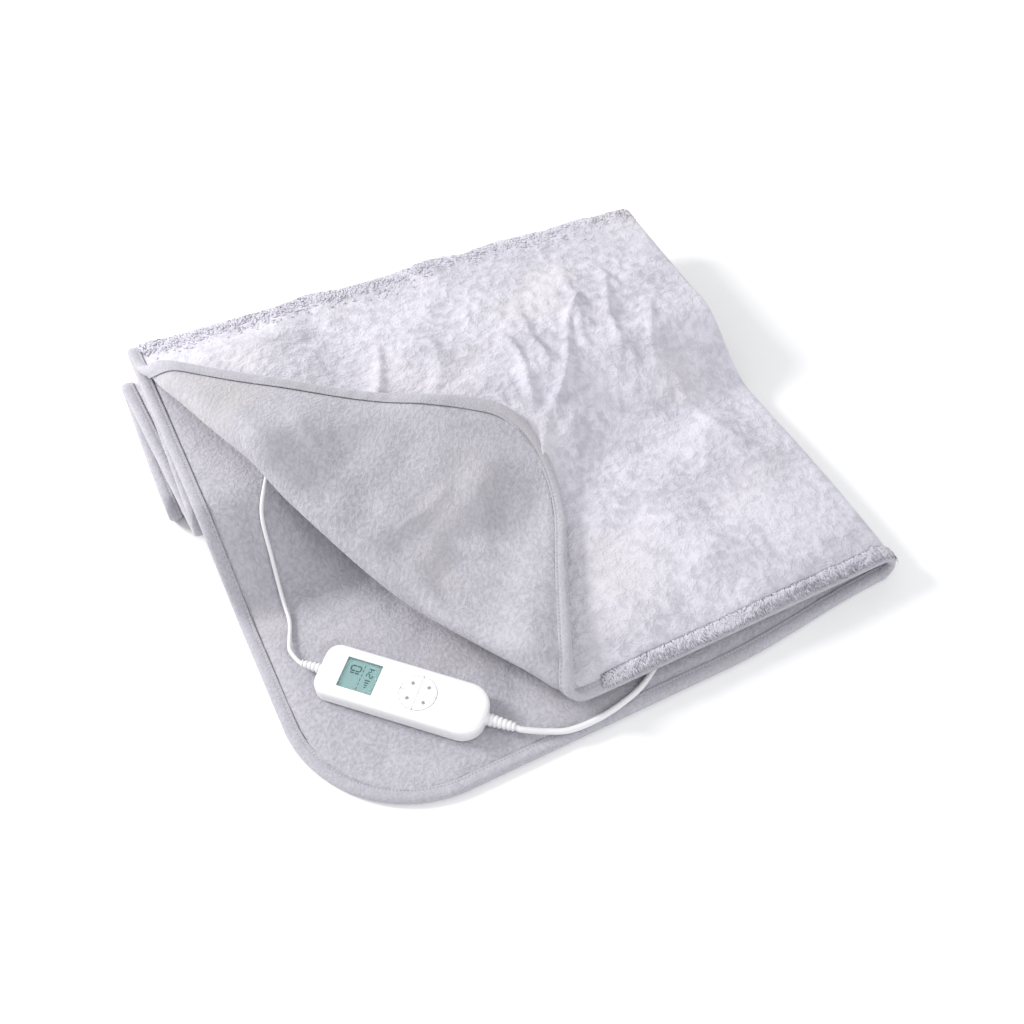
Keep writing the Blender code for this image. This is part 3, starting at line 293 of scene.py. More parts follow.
def lower_height(y):
    """Middle of the lower ply: on the floor, then up a smooth ramp on to the pile."""
    return PLY / 2 + (PANEL_MID - HALF_PITCH - PLY / 2) * ease((y - RAMP_FROM) / (RAMP_TO - RAMP_FROM))


def upper_height(x, y):
    """Middle of the upper ply: a long free span from its front edge to the pile, kept above the lower ply."""
    across = x / TAPER_X
    front = 0.0255 + 0.0105 * ease((y - 0.015) / 0.06) * ease((FOLD_X - x) / 0.07)
    start = 0.12 + 0.13 * across
    rise = ease((y - start) / (0.35 + 0.01 * across - start))
    resting = lower_height(y) + PITCH
    soften = 0.004 * ease((0.42 - y) / 0.08)
    puff = 0.0180 * within(x, -0.01, 0.23, 0.05, 0.12) * within(y, 0.30, BACK_Y, 0.06, 0.06)
    free = front + (PANEL_MID + HALF_PITCH - front) * rise
    return (free + resting + np.sqrt((free - resting) ** 2 + soften ** 2)) / 2 + puff


def past_flap(x, s):
    """How far a place of the upper ply lies past the line that its corner is turned over."""
    return -(x - FLAP_START[0]) * FLAP_INWARD[0] - (s - FLAP_START[1]) * FLAP_INWARD[1]


def turned_back(x, s):
    """The upper ply's corner rolled over a slanting line, by sine and one minus cosine, then lying flat."""
    a = (x - FLAP_START[0]) * FLAP_ALONG[0] + (s - FLAP_START[1]) * FLAP_ALONG[1]
    b = past_flap(x, s)
    angle = np.clip(b / FLAP_R, 0, math.pi)
    back = np.clip(b - math.pi * FLAP_R, 0, None)
    out = np.where(b > 0, FLAP_R * np.sin(angle) - back, b)
    lift = FLAP_R * (1 - np.cos(angle)) + (FLAP_REST - 2 * FLAP_R) * ease(back / FLAP_SETTLE)
    out = out + FLAP_BOW * np.sin(math.pi * np.clip(a / FLAP_LENGTH, 0, 1)) * np.exp(-(out / 0.11) ** 2)
    x_out = FLAP_START[0] + a * FLAP_ALONG[0] - out * FLAP_INWARD[0]
    s_out = FLAP_START[1] + a * FLAP_ALONG[1] - out * FLAP_INWARD[1]
    return x_out, s_out, np.where(b > 0, lift, 0)


def middle(p, s):
    """Place of the laminate's middle in the pile, and how much the pile is squeezed there."""
    upper = p > FOLD_X + RIGHT_ARC
    turn = math.pi * np.clip((p - FOLD_X) / RIGHT_ARC, 0, 1)
    x = np.where(upper, SHEET_WIDTH - p, np.minimum(p, FOLD_X))
    folded_x, folded_s, lift = turned_back(x, s)
    x, s, lift = np.where(upper, folded_x, x), np.where(upper, folded_s, s), np.where(upper, lift, 0)
    low, high = lower_height(s), upper_height(x, s)
    half = (high - low) / 2
    across = x / TAPER_X
    centre, bulge, z, ny, nz = (np.interp(s, PATH[:, 0], PATH[:, k]) for k in range(1, 6))
    behind = s > BACK_Y
    squeeze = 1 - PILE_TAPER * across * ease((np.where(behind, BACK_Y, s) - 0.10) / 0.22)
    y = np.where(behind, centre + squeeze * (bulge - HALF_PITCH * np.cos(turn) * ny), s)
    z = np.where(behind, z - HALF_PITCH * np.cos(turn) * nz, (high + low) / 2 - half * np.cos(turn) + lift)
    x = x + np.where(behind, HALF_PITCH, half) * squeeze * np.sin(turn)
    x = x - SIDE_STEP * ease((s - BACK_Y) / (SHEET_LENGTH - 0.12 - BACK_Y))
    skew = np.where(y < PILE_FRONT, y / PILE_FRONT, (PILE_BACK - y) / (PILE_BACK - PILE_FRONT))
    y = y + across * (PILE_SKEW * skew - BACK_SKEW * y / PILE_BACK)
    return np.stack([x, y, z * squeeze], -1), squeeze


def folded(p, s, h):
    """Middle plus h along the sheet's normal; h is above the middle on the plush side."""
    step = 2e-4
    here, squeeze = middle(p, s)
    across, along = (middle(p + dp, s + ds)[0] - middle(p - dp, s - ds)[0]
                     for dp, ds in ((step, 0), (0, step)))
    normal = -np.cross(across, along)
    normal /= np.linalg.norm(normal, axis=-1, keepdims=True)
    return here + normal * (h * squeeze)[..., None] - CORNER

# %% [markdown]
# ## Wrinkles
# Plush cloth is never flat. Long soft waves, short creases where a corner was pulled back, and the
# uneven nap itself are heights added along the sheet's normal, as functions of the flat
# coordinates. Smooth random waves are sums of a few sines with seeded directions.

# %% Random waves and creases
def waves(p, q, size, count, seed):
    """Smooth noise, about -1 to 1: a mean of sines with wavelengths round size, in seeded directions."""
    draw = np.random.default_rng(seed)
    total = np.zeros(np.shape(p))
    for way, length, phase in zip(draw.uniform(0, math.pi, count), draw.uniform(0.7, 1.5, count) * size,
                                  draw.uniform(0, 2 * math.pi, count)):
        total += np.sin(2 * math.pi * (p * math.cos(way) + q * math.sin(way)) / length + phase)
    return total / math.sqrt(count)


def crease(p, q, start, end, width, bend=0.0):
    """A ridge along the line from start to end: 1/(1+(distance/width)^2), fading out at both ends."""
    start, end = np.array(start), np.array(end)
    length = np.linalg.norm(end - start)
    way = (end - start) / length
    along = ((p - start[0]) * way[0] + (q - start[1]) * way[1]) / length
    off = (p - start[0]) * -way[1] + (q - start[1]) * way[0] - bend * np.sin(math.pi * np.clip(along, 0, 1))
    fade = within(along, -0.12, 1.12, 0.3, 0.3)
    return fade / (1 + (off / width) ** 2)


TOP_CREASES = (     # each from, to, width and height
    ((0.335, 0.248), (0.377, 0.303), 0.0060, 0.0024), ((0.377, 0.303), (0.431, 0.370), 0.0042, 0.0042),
    ((0.431, 0.370), (0.477, 0.431), 0.0034, 0.0042), ((0.520, 0.270), (0.547, 0.187), 0.0050, 0.0032),
    ((0.241, 0.459), (0.206, 0.369), 0.0045, 0.0036), ((0.248, 0.372), (0.233, 0.336), 0.0034, 0.0034),
    ((0.369, 0.412), (0.357, 0.308), 0.0042, 0.0042), ((0.405, 0.455), (0.398, 0.345), 0.0036, 0.0032),
    ((0.470, 0.480), (0.445, 0.360), 0.0048, 0.0036), ((0.520, 0.455), (0.480, 0.330), 0.0040, 0.0034),
    ((0.330, 0.340), (0.312, 0.262), 0.0040, 0.0026), ((0.560, 0.400), (0.505, 0.300), 0.0040, 0.0026),
    ((0.296, 0.440), (0.270, 0.360), 0.0050, 0.0020))
FLAP_FOLDS = (
    ((0.262, 0.050), (0.190, 0.105), 0.0050, 0.0026), ((0.280, 0.120), (0.205, 0.160), 0.0045, 0.0028),
    ((0.285, 0.165), (0.215, 0.205), 0.0045, 0.0024), ((0.235, 0.260), (0.165, 0.235), 0.0060, 0.0022),
    ((0.150, 0.290), (0.120, 0.370), 0.0070, 0.0020), ((0.070, 0.440), (0.110, 0.380), 0.0070, 0.0018))


def top_relief(x, y):
    """Height of the top panel's plush over its smooth shape, at place (x, y) of the upper ply."""
    rough = 0.0042 * waves(x, y, 0.13, 9, 3) + 0.0012 * waves(x, y, 0.045, 12, 5)
    rough = rough + 0.00035 * waves(x, y, 0.012, 14, 7)
    for k, (start, end, width, height) in enumerate(TOP_CREASES):
        rough = rough + 2.1 * height * crease(x, y, start, end, width, 0.006 * (-1) ** k)
    crumpled = within(x, 0.30, 0.60, 0.08, 0.08) * within(y, 0.22, 0.54, 0.08, 0.05)
    ridged = 1 - np.abs(waves(x * 1.5 + 0.5 * y, y * 0.5 - 0.2 * x, 0.062, 7, 11))
    return rough + crumpled * (0.0042 * ridged + 0.0008 * waves(x, y, 0.016, 12, 13))


def flap_relief(x, y):
    """Height of the turned-back corner's lining: soft folds that run in from its binding, and one dimple."""
    soft = 0.0046 * waves(x, y, 0.12, 8, 21) + 0.0013 * waves(x, y, 0.045, 10, 23)
    for start, end, width, height in FLAP_FOLDS:
        soft = soft + 2.0 * height * crease(x, y, start, end, width, 0.004)
    dimple = -0.0075 * np.exp(-(((x - 0.262) / 0.013) ** 2 + ((y - 0.195) / 0.026) ** 2))
    return soft + dimple


def lining_relief(x, y):
    """Height of the lower ply's lining: puffs about a hand wide."""
    return 0.0022 * waves(x, y, 0.085, 9, 31) + 0.0007 * waves(x, y, 0.032, 10, 33)


CASE_SPOT = (0.112, 0.108)             # the middle of the controller, in x and s


def edge_distance(p, q):
    """How far a place of the flat sheet is from its nearest side."""
    return np.minimum(np.minimum(p, SHEET_WIDTH - p), np.minimum(q, SHEET_LENGTH - q))


def relief(p, q, s):
    """Height of the whole laminate towards its plush side, by the part of the folded sheet it belongs to."""
    upper = p > FOLD_X + RIGHT_ARC / 2
    x = np.where(upper, SHEET_WIDTH - p, p)
    b = past_flap(x, s)
    turned_x, turned_y, _ = turned_back(x, s)
    panel = ease((BACK_Y + 0.045 - s) / 0.05)
    edge = ease(edge_distance(p, q) / 0.045)
    crease_side = ease(np.abs(p - HALF_WIDTH) / 0.05)
    on_top = np.maximum(top_relief(x, s) + 0.0016, -0.0004) * ease(-b / 0.02)
    flap = ease((b - math.pi * FLAP_R * 0.6) / 0.02)
    on_flap = -np.maximum(flap_relief(turned_x, turned_y), -0.0045) * flap
    top = (on_top + on_flap) * edge * crease_side
    route = np.vstack([lead_line[:90:6], mains_line[:110:8]])[:, :2] + CORNER[:2]
    near = np.min(np.hypot(x[..., None] - route[:, 0], s[..., None] - route[:, 1]), axis=-1)
    case = np.hypot(x - CASE_SPOT[0], s - CASE_SPOT[1])
    free = ease((near - 0.008) / 0.025) * ease((case - 0.075) / 0.04) * ease((RAMP_FROM + 0.04 - s) / 0.04)
    below = -np.maximum(lining_relief(x, s) + 0.0008, -0.0005) * edge * free
    pile = 0.0006 * waves(p, s, 0.09, 6, 41) * edge
    return np.where(upper, top * panel, below) + pile * ease((s - BACK_Y) / 0.02) * (1 - panel)

# %% [markdown]
# ## The cloth slabs
# Each layer is a thin closed slab: an outer face that shows, an inner face with half as many rows
# and columns, and a rim between them that the binding hides. The rows lie close together where the
# sheet turns, and the columns are closer on the half that ends up on top.

# %% Grid lines of the flat sheet
def spaced(start, end, step):
    return np.linspace(start, end, max(int(round((end - start) / step)), 1) + 1)[:-1]


def even(lines):
    """An odd number of lines, so that every second one ends on the last."""
    return lines if len(lines) % 2 else np.insert(lines, 1, (lines[0] + lines[1]) / 2)


panel_step, low_step = ((0.0036, 0.0062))
corner_rows = RIM_IN + (CORNER_BOTTOM - RIM_IN) * (1 - np.cos(np.linspace(0, 0.62, 9)))
row_lines = [corner_rows[:-1], spaced(corner_rows[-1], BACK_Y, panel_step)]
last = BACK_Y
for first, until in TURN_SPANS:
    if first > last:
        row_lines.append(spaced(last, first, 0.014))
    row_lines.append(spaced(first, until, (until - first) / 12))
    last = until
far_rows = SHEET_LENGTH - corner_rows[::-1]
row_lines.append(spaced(last, far_rows[0], 0.014))
row_lines.append(far_rows)
ROWS = even(np.concatenate(row_lines))
COLUMNS = even(np.concatenate([
    spaced(RIM_IN, FOLD_X, low_step), spaced(FOLD_X, FOLD_X + RIGHT_ARC, 0.0026),
    spaced(FOLD_X + RIGHT_ARC, SHEET_WIDTH - RIM_IN, panel_step), [SHEET_WIDTH - RIM_IN]]))


def corner_in(radius, from_end):
    """How far in the trimmed edge lies: r - sqrt(r^2 - d^2) round a corner, and RIM_IN elsewhere."""
    past = np.clip(radius - from_end, 0, None)
    return radius - np.sqrt(np.clip((radius - RIM_IN) ** 2 - past ** 2, 0, None))


def trimmed(columns, rows, zone=0.20):
    """Column and row places with round corners: the columns within the zone crowd in to clear the corner."""
    p, q = np.meshgrid(columns, rows)
    from_end = np.minimum(q, SHEET_LENGTH - q)

    def crowded(off, radius):
        first = corner_in(radius, from_end)
        return first + (off - RIM_IN) / (zone - RIM_IN) * (zone - first)

    p = np.where(p < zone, crowded(p, CORNER_BOTTOM), p)
    off = SHEET_WIDTH - p
    return np.where(off < zone, SHEET_WIDTH - crowded(off, CORNER_TOP), p), q


FLAT_P, FLAT_Q = trimmed(COLUMNS, ROWS)
PLACE_P, PLACE_S = laid(FLAT_P, FLAT_Q)
RELIEF = relief(PLACE_P, FLAT_Q, PLACE_S)

# %% Make the two slabs
def rim_loop(rows, columns, offset):
    """Point numbers round the edge of a grid, counter-clockwise."""
    c = columns
    bottom = np.arange(0, c - 1)
    right = np.arange(0, rows - 1) * c + c - 1
    top = (rows - 1) * c + np.arange(c - 1, 0, -1)
    left = np.arange(rows - 1, 0, -1) * c
    return np.concatenate([bottom, right, top, left]) + offset


def slab(name, outer_h, inner_h, outward):
    """A closed slab between heights outer_h and inner_h; outward is 1 if the plush side shows, or -1."""
    n, m = FLAT_P.shape
    outer = folded(PLACE_P, PLACE_S, outer_h)
    half = (slice(None, None, 2), slice(None, None, 2))
    inner = folded(PLACE_P[half], PLACE_S[half], inner_h[half])
    points = np.vstack([outer.reshape(-1, 3), inner.reshape(-1, 3)])
    points[:, 2] = np.maximum(points[:, 2], 0.0)
    inner_n, inner_m = inner.shape[:2]
    front, back = grid_quads(n, m), grid_quads(inner_n, inner_m)[:, ::-1] + n * m
    edge, core = rim_loop(n, m, 0), rim_loop(inner_n, inner_m, n * m)
    a, b, c, d, e = edge[::2], edge[1::2], np.roll(edge, -2)[::2], core, np.roll(core, -1)
    rim = np.vstack([np.stack([b, a, d], -1), np.stack([c, b, e], -1), np.stack([b, d, e], -1)])
    quads = np.vstack([front, back])
    if outward > 0:
        quads, rim = quads[:, ::-1], rim[:, ::-1]
    uv = np.stack([FLAT_P, FLAT_Q], -1)
    return mesh_piece(name, points, quads, np.vstack([uv.reshape(-1, 2), uv[half].reshape(-1, 2)]), rim)


EDGE_HEIGHT, PLUSH_RISE, LINING_RISE, CORE_HEIGHT = 0.0017, 0.0025, 0.0023, 0.0012     # from the middle
full = ease((edge_distance(FLAT_P, FLAT_Q) - RIM_IN) / 0.012)
plush = slab("plush_pile", RELIEF + EDGE_HEIGHT + PLUSH_RISE * full, RELIEF + CORE_HEIGHT, 1)
lining = slab("fleece_lining", RELIEF - EDGE_HEIGHT - LINING_RISE * full, RELIEF - CORE_HEIGHT, -1)
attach(plush, "throw")
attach(lining, "throw")
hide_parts("plush_cover")
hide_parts("soft_lining")
print("plush", len(plush.data.polygons), "faces; lining", len(lining.data.polygons), "faces")

# %% [markdown]
# ## Tufts of the pile
# A deep plush shows single locks where it catches the light and where it hangs over an edge. Each
# lock is a small closed leaf of six faces, laid nearly flat along the pile's direction, and all of
# them are placed at once from seeded random numbers: short ones round the fold at the back, where
# the outline shows the pile, and longer ones that hang over the binding of the front edge.

# %% Lay the tufts
def tufts(name, p, q, way, spread, long, wide, crown_h, tip_h, root_h):
    """Leaves with a root, a tip and three points round the widest place, 0.45 of the way along; long, wide,
    crown_h and tip_h are ranges that each leaf's value is drawn from."""
    way = way + draw.normal(0, spread, len(p))
    long, wide, crown_h, tip_h = (draw.uniform(*span, len(p)) for span in (long, wide, crown_h, tip_h))
    laid_p, laid_s = laid(p, q)
    base = relief(laid_p, q, laid_s)
    dp, ds = np.cos(way), np.sin(way)
    widest, side_h = 0.45 * long, crown_h - 0.0005
    at = [(0 * p, 0 * p, root_h),
          (dp * widest - ds * wide, ds * widest + dp * wide, side_h),
          (dp * widest, ds * widest, crown_h + 0.0006),
          (dp * widest + ds * wide, ds * widest - dp * wide, side_h),
          (dp * long, ds * long, tip_h)]
    points = np.stack([folded(laid_p + u, laid_s + v, base + h) for u, v, h in at], 1)
    points[..., 2] = np.maximum(points[..., 2], 0.0)
    uv = np.stack([np.stack([p + u * 0.4, q + v * 0.4], -1) for u, v, _ in at], 1)
    leaf = np.array([(0, 1, 2), (0, 2, 3), (0, 3, 1), (4, 2, 1), (4, 3, 2), (4, 1, 3)])
    faces = (np.arange(len(p))[:, None, None] * 5 + leaf).reshape(-1, 3)
    return mesh_piece(name, points.reshape(-1, 3), faces, uv.reshape(-1, 2))


draw = np.random.default_rng(61)
count = 4500
fold_p = draw.uniform(FOLD_X + 0.003, SHEET_WIDTH - 0.014, count)
fold_q = np.clip(draw.normal(BACK_Y + 0.009, 0.013, count), BACK_Y - 0.030, BACK_Y + 0.060)
spot_p, spot_s = laid(fold_p, fold_q)
kept = past_flap(SHEET_WIDTH - spot_p, spot_s) < -0.006
fold_p, fold_q = fold_p[kept], fold_q[kept]
flow = math.pi / 2 + 0.9 * waves(fold_p, fold_q, 0.09, 8, 63)
fold_tufts = tufts("fold_tufts", fold_p, fold_q, flow, 0.55, (0.0055, 0.0090), (0.0011, 0.0019),
                   (0.0046, 0.0052), (0.0043, 0.0055), 0.0036)
count = 4200
edge_p = draw.uniform(FOLD_X + 0.016, SHEET_WIDTH - 0.285, count)
edge_q = draw.uniform(0.0105, 0.0185, count)
flow = -math.pi / 2 + 0.35 * waves(edge_p, edge_q, 0.03, 6, 65)
fringe = tufts("plush_fringe", edge_p, edge_q, flow, 0.35, (0.0060, 0.0125), (0.0008, 0.0015),
               (0.0054, 0.0064), (0.0046, 0.0066), 0.0034)
for locks in (fold_tufts, fringe):
    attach(locks, "throw")

# %% [markdown]
# ## Binding
# A soft tape is folded over the sheet's edge and sewn through. Its section is a fat U, rounded
# outside, with a shallow groove where the stitches pull it down, and it is carried round the whole
# outline. Small puckers between the stitches keep it from looking like a pipe.

# %% Carry the binding round the outline
def outline(count):
    """Even points on the flat sheet's round-cornered edge, their directions inwards, and places along it."""
    w, l, low, high = SHEET_WIDTH, SHEET_LENGTH, CORNER_BOTTOM, CORNER_TOP
    spots, ways = [], []
    for p, q, radius, start in ((low, low, low, 2), (w - high, high, high, 3),
                                (w - high, l - high, high, 0), (low, l - low, low, 1)):
        a = math.pi / 2 * start + np.linspace(0, math.pi / 2, 60)
        ways.append(-np.stack([np.cos(a), np.sin(a)], -1))
        spots.append(np.array([p, q]) - ways[-1] * radius)
    spots, ways = np.vstack(spots + [spots[0][:1]]), np.vstack(ways + [ways[0][:1]])
    run = running_length(spots)
    at = np.linspace(0, run[-1], count, endpoint=False)
    points = np.stack([np.interp(at, run, spots[:, k]) for k in (0, 1)], -1)
    inward = np.stack([np.interp(at, run, ways[:, k]) for k in (0, 1)], -1)
    return points, inward / np.linalg.norm(inward, axis=1, keepdims=True), at


HALF_SECTION = np.array([     # distance in from the edge, and height
    (0.0002, 0.0007), (0.0007, 0.0019), (0.0018, 0.0031), (0.0034, 0.0039),
    (0.0055, 0.0043), (0.0078, 0.0043), (0.0094, 0.0040), (0.0103, 0.0035),
    (0.0109, 0.0036), (0.0120, 0.0039), (0.0129, 0.0036), (0.0131, 0.0030)])
INNER_SECTION = np.array([(0.0120, 0.0028), (0.0040, 0.0024), (0.0014, 0.0010)])
FLIP = (1, -1)
SECTION = np.vstack([HALF_SECTION, INNER_SECTION, INNER_SECTION[::-1] * FLIP, HALF_SECTION[::-1] * FLIP])
count = 2800
rim_points, rim_inward, rim_run = outline(count)
pucker = 1 + 0.045 * waves(rim_run, rim_run * 0, 0.013, 6, 51)
pucker = pucker + 0.05 * waves(rim_run, rim_run * 0, 0.06, 5, 53)
at = rim_points[:, None] + rim_inward[:, None] * SECTION[None, :, :1]
tall = SECTION[:, 1] * np.where(np.abs(SECTION[:, 1]) > 0.0032, pucker[:, None], 1.0)
bound_p, bound_s = laid(at[..., 0], at[..., 1])
bound = folded(bound_p, bound_s, np.clip(tall, -0.0046, 0.0046))
bound[..., 2] = np.maximum(bound[..., 2], 0.0)
girth = running_length(SECTION)
bound_uv = np.stack(np.meshgrid(girth, rim_run), -1).reshape(-1, 2)
bound_quads = grid_quads(count, len(SECTION), True, True)
binding = mesh_piece("bound_edge", bound.reshape(-1, 3), bound_quads, bound_uv)
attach(binding, "throw")
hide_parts("edge_binding")
print("binding", round(rim_run[-1], 2), "m long")

# %% [markdown]
# ## The heating wire
# Between the two layers one thin insulated wire runs to and fro from the connector. It doesn't
# show, but it has to follow the same folds and wrinkles as the cloth, so its route is drawn on the
# flat sheet, its corners are rounded by a running mean, and it goes through the same maps.

# %% Lay the wire
WIRE_R, WIRE_MARGIN = 0.0009, 0.056
wire_rows = (0.12, 0.22, 0.31, 0.49, 0.66, 0.74, 0.87, 0.95, 1.09, SHEET_LENGTH - 0.05)
wire_corners = [(0.12, 0.425), (0.034, 0.405), (0.034, 0.12)]
wire_ends = (WIRE_MARGIN, SHEET_WIDTH - WIRE_MARGIN)
for k, row in enumerate(wire_rows):
    wire_corners += [(wire_ends[k % 2], row), (wire_ends[1 - k % 2], row)]
wire_flat = resampled(np.array([(p, q, 0.0) for p, q in wire_corners]), 0.0045)
mean = np.ones(9) / 9
padded_flat = np.pad(wire_flat, ((4, 4), (0, 0)), mode="edge")
wire_p, wire_s = (np.convolve(padded_flat[:, k], mean, mode="valid") for k in (0, 1))
wire_line = folded(wire_p, wire_s, relief(wire_p, wire_s, wire_s) - 0.0003)
wire = tube("heating_wire_loop", wire_line, WIRE_R, sides=6)
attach(wire, "throw")
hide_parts("heating_wire")

# %% [markdown]
# ## Finishes
# Every finish is made of nodes. Two effects are shared, so each is a node group with named
# sockets: the nap of a pile fabric, in clumps, fibres and brushed patches, with painted shade in
# its hollows and painted sheen and shade on its patches, and the fine grain and handling marks of
# moulded plastic. The cloth reads its flat coordinates, in metres, so the nap follows the sheet
# through every fold; hard parts read object coordinates.

# %% Node helpers
FLOAT, COLOUR, VECTOR = "NodeSocketFloat", "NodeSocketColor", "NodeSocketVector"


def put(tree, kind, links=None, **settings):
    """Adds a node, sets its properties, and sets or links its inputs, by name or by number."""
    node = tree.nodes.new(kind)
    for key, value in settings.items():
        setattr(node, key, value)
    for key, value in (links or {}).items():
        if isinstance(value, bpy.types.NodeSocket):
            tree.links.new(value, node.inputs[key])
        else:
            node.inputs[key].default_value = value
    return node


def blend_colours(tree, amount, first, second):
    """A colour mix: the Mix node keeps its colour sockets at numbers 6 and 7, and its result at 2."""
    return put(tree, "ShaderNodeMix", {0: amount, 6: first, 7: second}, data_type="RGBA").outputs[2]


def noise(tree, place, scale, detail=2.0, **more):
    settings = {"Vector": place, "Scale": scale, "Detail": detail, **more}
    return put(tree, "ShaderNodeTexNoise", settings).outputs[0]


def mapped(tree, value, low, high, to_low=0.0, to_high=1.0):
    """The value carried from the range low to high to another one, and held inside it."""
    return put(tree, "ShaderNodeMapRange", {"Value": value, "From Min": low, "From Max": high,
                                            "To Min": to_low, "To Max": to_high}).outputs[0]


def maths(tree, operation, *values):
    return put(tree, "ShaderNodeMath", dict(enumerate(values)), operation=operation).outputs[0]


def vector_maths(tree, operation, inputs):
    return put(tree, "ShaderNodeVectorMath", inputs, operation=operation).outputs[0]


def group(name, inputs, outputs):
    """A node group with its sockets: inputs are (name, kind, value), outputs are (name, kind)."""
    tree = bpy.data.node_groups.new(name, "ShaderNodeTree")
    for label, kind, value in inputs:
        socket = tree.interface.new_socket(name=label, in_out="INPUT", socket_type=kind)
        if value is not None:
            socket.default_value = value
    for label, kind in outputs:
        tree.interface.new_socket(name=label, in_out="OUTPUT", socket_type=kind)
    return tree, tree.nodes.new("NodeGroupInput").outputs, tree.nodes.new("NodeGroupOutput").inputs


def finish(name, **constants):
    """A material with a Principled shader whose fixed values are set on its own sockets."""
    material = bpy.data.materials.new(name)
    material.use_nodes = True
    shader = material.node_tree.nodes["Principled BSDF"]
    for key, value in constants.items():
        shader.inputs[key.replace("_", " ")].default_value = value
    return material, material.node_tree, shader

# %% Shared effect: the nap of a pile fabric
nap, given, gives = group(
    "pile_nap", [("Place", VECTOR, None), ("Clumps", FLOAT, 150.0), ("Fibres", FLOAT, 900.0),
                 ("Lit", COLOUR, (0.7, 0.7, 0.7, 1)), ("Hollow_shade", COLOUR, (0.4, 0.4, 0.4, 1)),
                 ("Warm", COLOUR, (0.7, 0.65, 0.6, 1)), ("Brushing", FLOAT, 0.5)],
    [("Colour", COLOUR), ("Height", FLOAT), ("Roughness", FLOAT)])
drift = put(nap, "ShaderNodeTexNoise", {"Vector": given["Place"], "Scale": 70.0, "Detail": 2.0})
drift = vector_maths(nap, "SUBTRACT", {0: drift.outputs["Color"], 1: (0.5, 0.5, 0.5)})
drift = vector_maths(nap, "SCALE", {0: drift, 3: 0.010})
place = vector_maths(nap, "ADD", {0: given["Place"], 1: drift})
clumps = mapped(nap, noise(nap, place, given["Clumps"], 3.0, Roughness=0.6), 0.36, 0.66)
fibres = maths(nap, "MULTIPLY", noise(nap, place, given["Fibres"]), 0.5)
height = maths(nap, "ADD", clumps, fibres)
patches = noise(nap, place, 15.0, 4.0, Roughness=0.6, Distortion=0.8)
brushed_sheen_and_shade = maths(nap, "MULTIPLY", mapped(nap, patches, 0.38, 0.62, -1.0, 0.6), given["Brushing"])
# The nap's colour runs from the darker colour in its hollows to the lighter one on its raised clumps, and the
# brushed patches lighten and darken it: painted shade in the hollows, and painted sheen and shade on the
# patches.
tone = mapped(nap, maths(nap, "ADD", height, brushed_sheen_and_shade), -0.1, 1.1)
colour = blend_colours(nap, tone, given["Hollow_shade"], given["Lit"])
warmth = mapped(nap, noise(nap, given["Place"], 6.0), 0.52, 0.72, 0.0, 0.55)
nap.links.new(blend_colours(nap, warmth, colour, given["Warm"]), gives["Colour"])
nap.links.new(height, gives["Height"])
nap.links.new(mapped(nap, tone, 0.0, 1.0, 1.0, 0.86), gives["Roughness"])


def dressed(tree, shader, effect, place, settings, bump, depth):
    """Puts a shared effect into a material and links its outputs. Returns the effect's node and its bump."""
    skin = put(tree, "ShaderNodeGroup", {"Place": place, **settings}, node_tree=effect)
    height = skin.outputs["Height"]
    raised = put(tree, "ShaderNodeBump", {"Strength": bump, "Distance": depth, "Height": height})
    tree.links.new(skin.outputs["Colour"], shader.inputs["Base Color"])
    tree.links.new(skin.outputs["Roughness"], shader.inputs["Roughness"])
    tree.links.new(raised.outputs[0], shader.inputs["Normal"])
    return skin, raised


def pile_finish(name, clumps, fibres, lit, hollow_shade, warm, brushing, bump, depth):
    """A napped fabric: matt, with a soft sheen, its colour, roughness and bump from the shared nap."""
    material, tree, shader = finish(name, Sheen_Weight=0.35, Sheen_Roughness=0.45, Specular_IOR_Level=0.12)
    flat = put(tree, "ShaderNodeUVMap", uv_map="flat").outputs[0]
    settings = {"Clumps": clumps, "Fibres": fibres, "Lit": (*lit, 1), "Hollow_shade": (*hollow_shade, 1), "Warm": (*warm, 1),
                "Brushing": brushing}
    pile, raised = dressed(tree, shader, nap, flat, settings, bump, depth)
    return material, tree, shader, flat, pile, raised


plush_finish = pile_finish(
    "plush_fleece", clumps=95.0, fibres=520.0, lit=(0.665, 0.652, 0.722), hollow_shade=(0.500, 0.487, 0.548),
    warm=(0.640, 0.608, 0.612), brushing=0.50, bump=0.55, depth=0.0022)[0]
lining_finish = pile_finish(
    "lining_fleece", clumps=260.0, fibres=1100.0, lit=(0.520, 0.508, 0.560), hollow_shade=(0.385, 0.375, 0.418),
    warm=(0.520, 0.495, 0.495), brushing=0.38, bump=0.50, depth=0.0011)[0]
for pile_piece in (plush, fold_tufts, fringe):
    pile_piece.data.materials.append(plush_finish)
lining.data.materials.append(lining_finish)

# %% The binding's finish, with its row of stitches
# The binding's UV map holds the distance round its section and the distance along the edge, so a
# stitch is a dash: a narrow band across the section, cut by a wave along the edge.
STITCH = 0.0036                # from one stitch to the next
bound_material, tree, shader, flat, pile, raised = pile_finish(
    "binding_tape", clumps=420.0, fibres=1800.0, lit=(0.500, 0.490, 0.540), hollow_shade=(0.380, 0.372, 0.412),
    warm=(0.48, 0.46, 0.465), brushing=0.2, bump=0.40, depth=0.0006)
axes = put(tree, "ShaderNodeSeparateXYZ", {0: flat}).outputs
groove_at = float(girth[8])    # point 8 of the section lies in the groove
bands = []
for groove in (groove_at, float(girth[-1]) - groove_at):
    off = maths(tree, "ABSOLUTE", maths(tree, "SUBTRACT", axes[0], groove))
    bands.append(mapped(tree, off, 0.0003, 0.0009, 1.0, 0.0))
band = maths(tree, "MAXIMUM", *bands)
beat = maths(tree, "SINE", maths(tree, "MULTIPLY", axes[1], 2 * math.pi / STITCH))
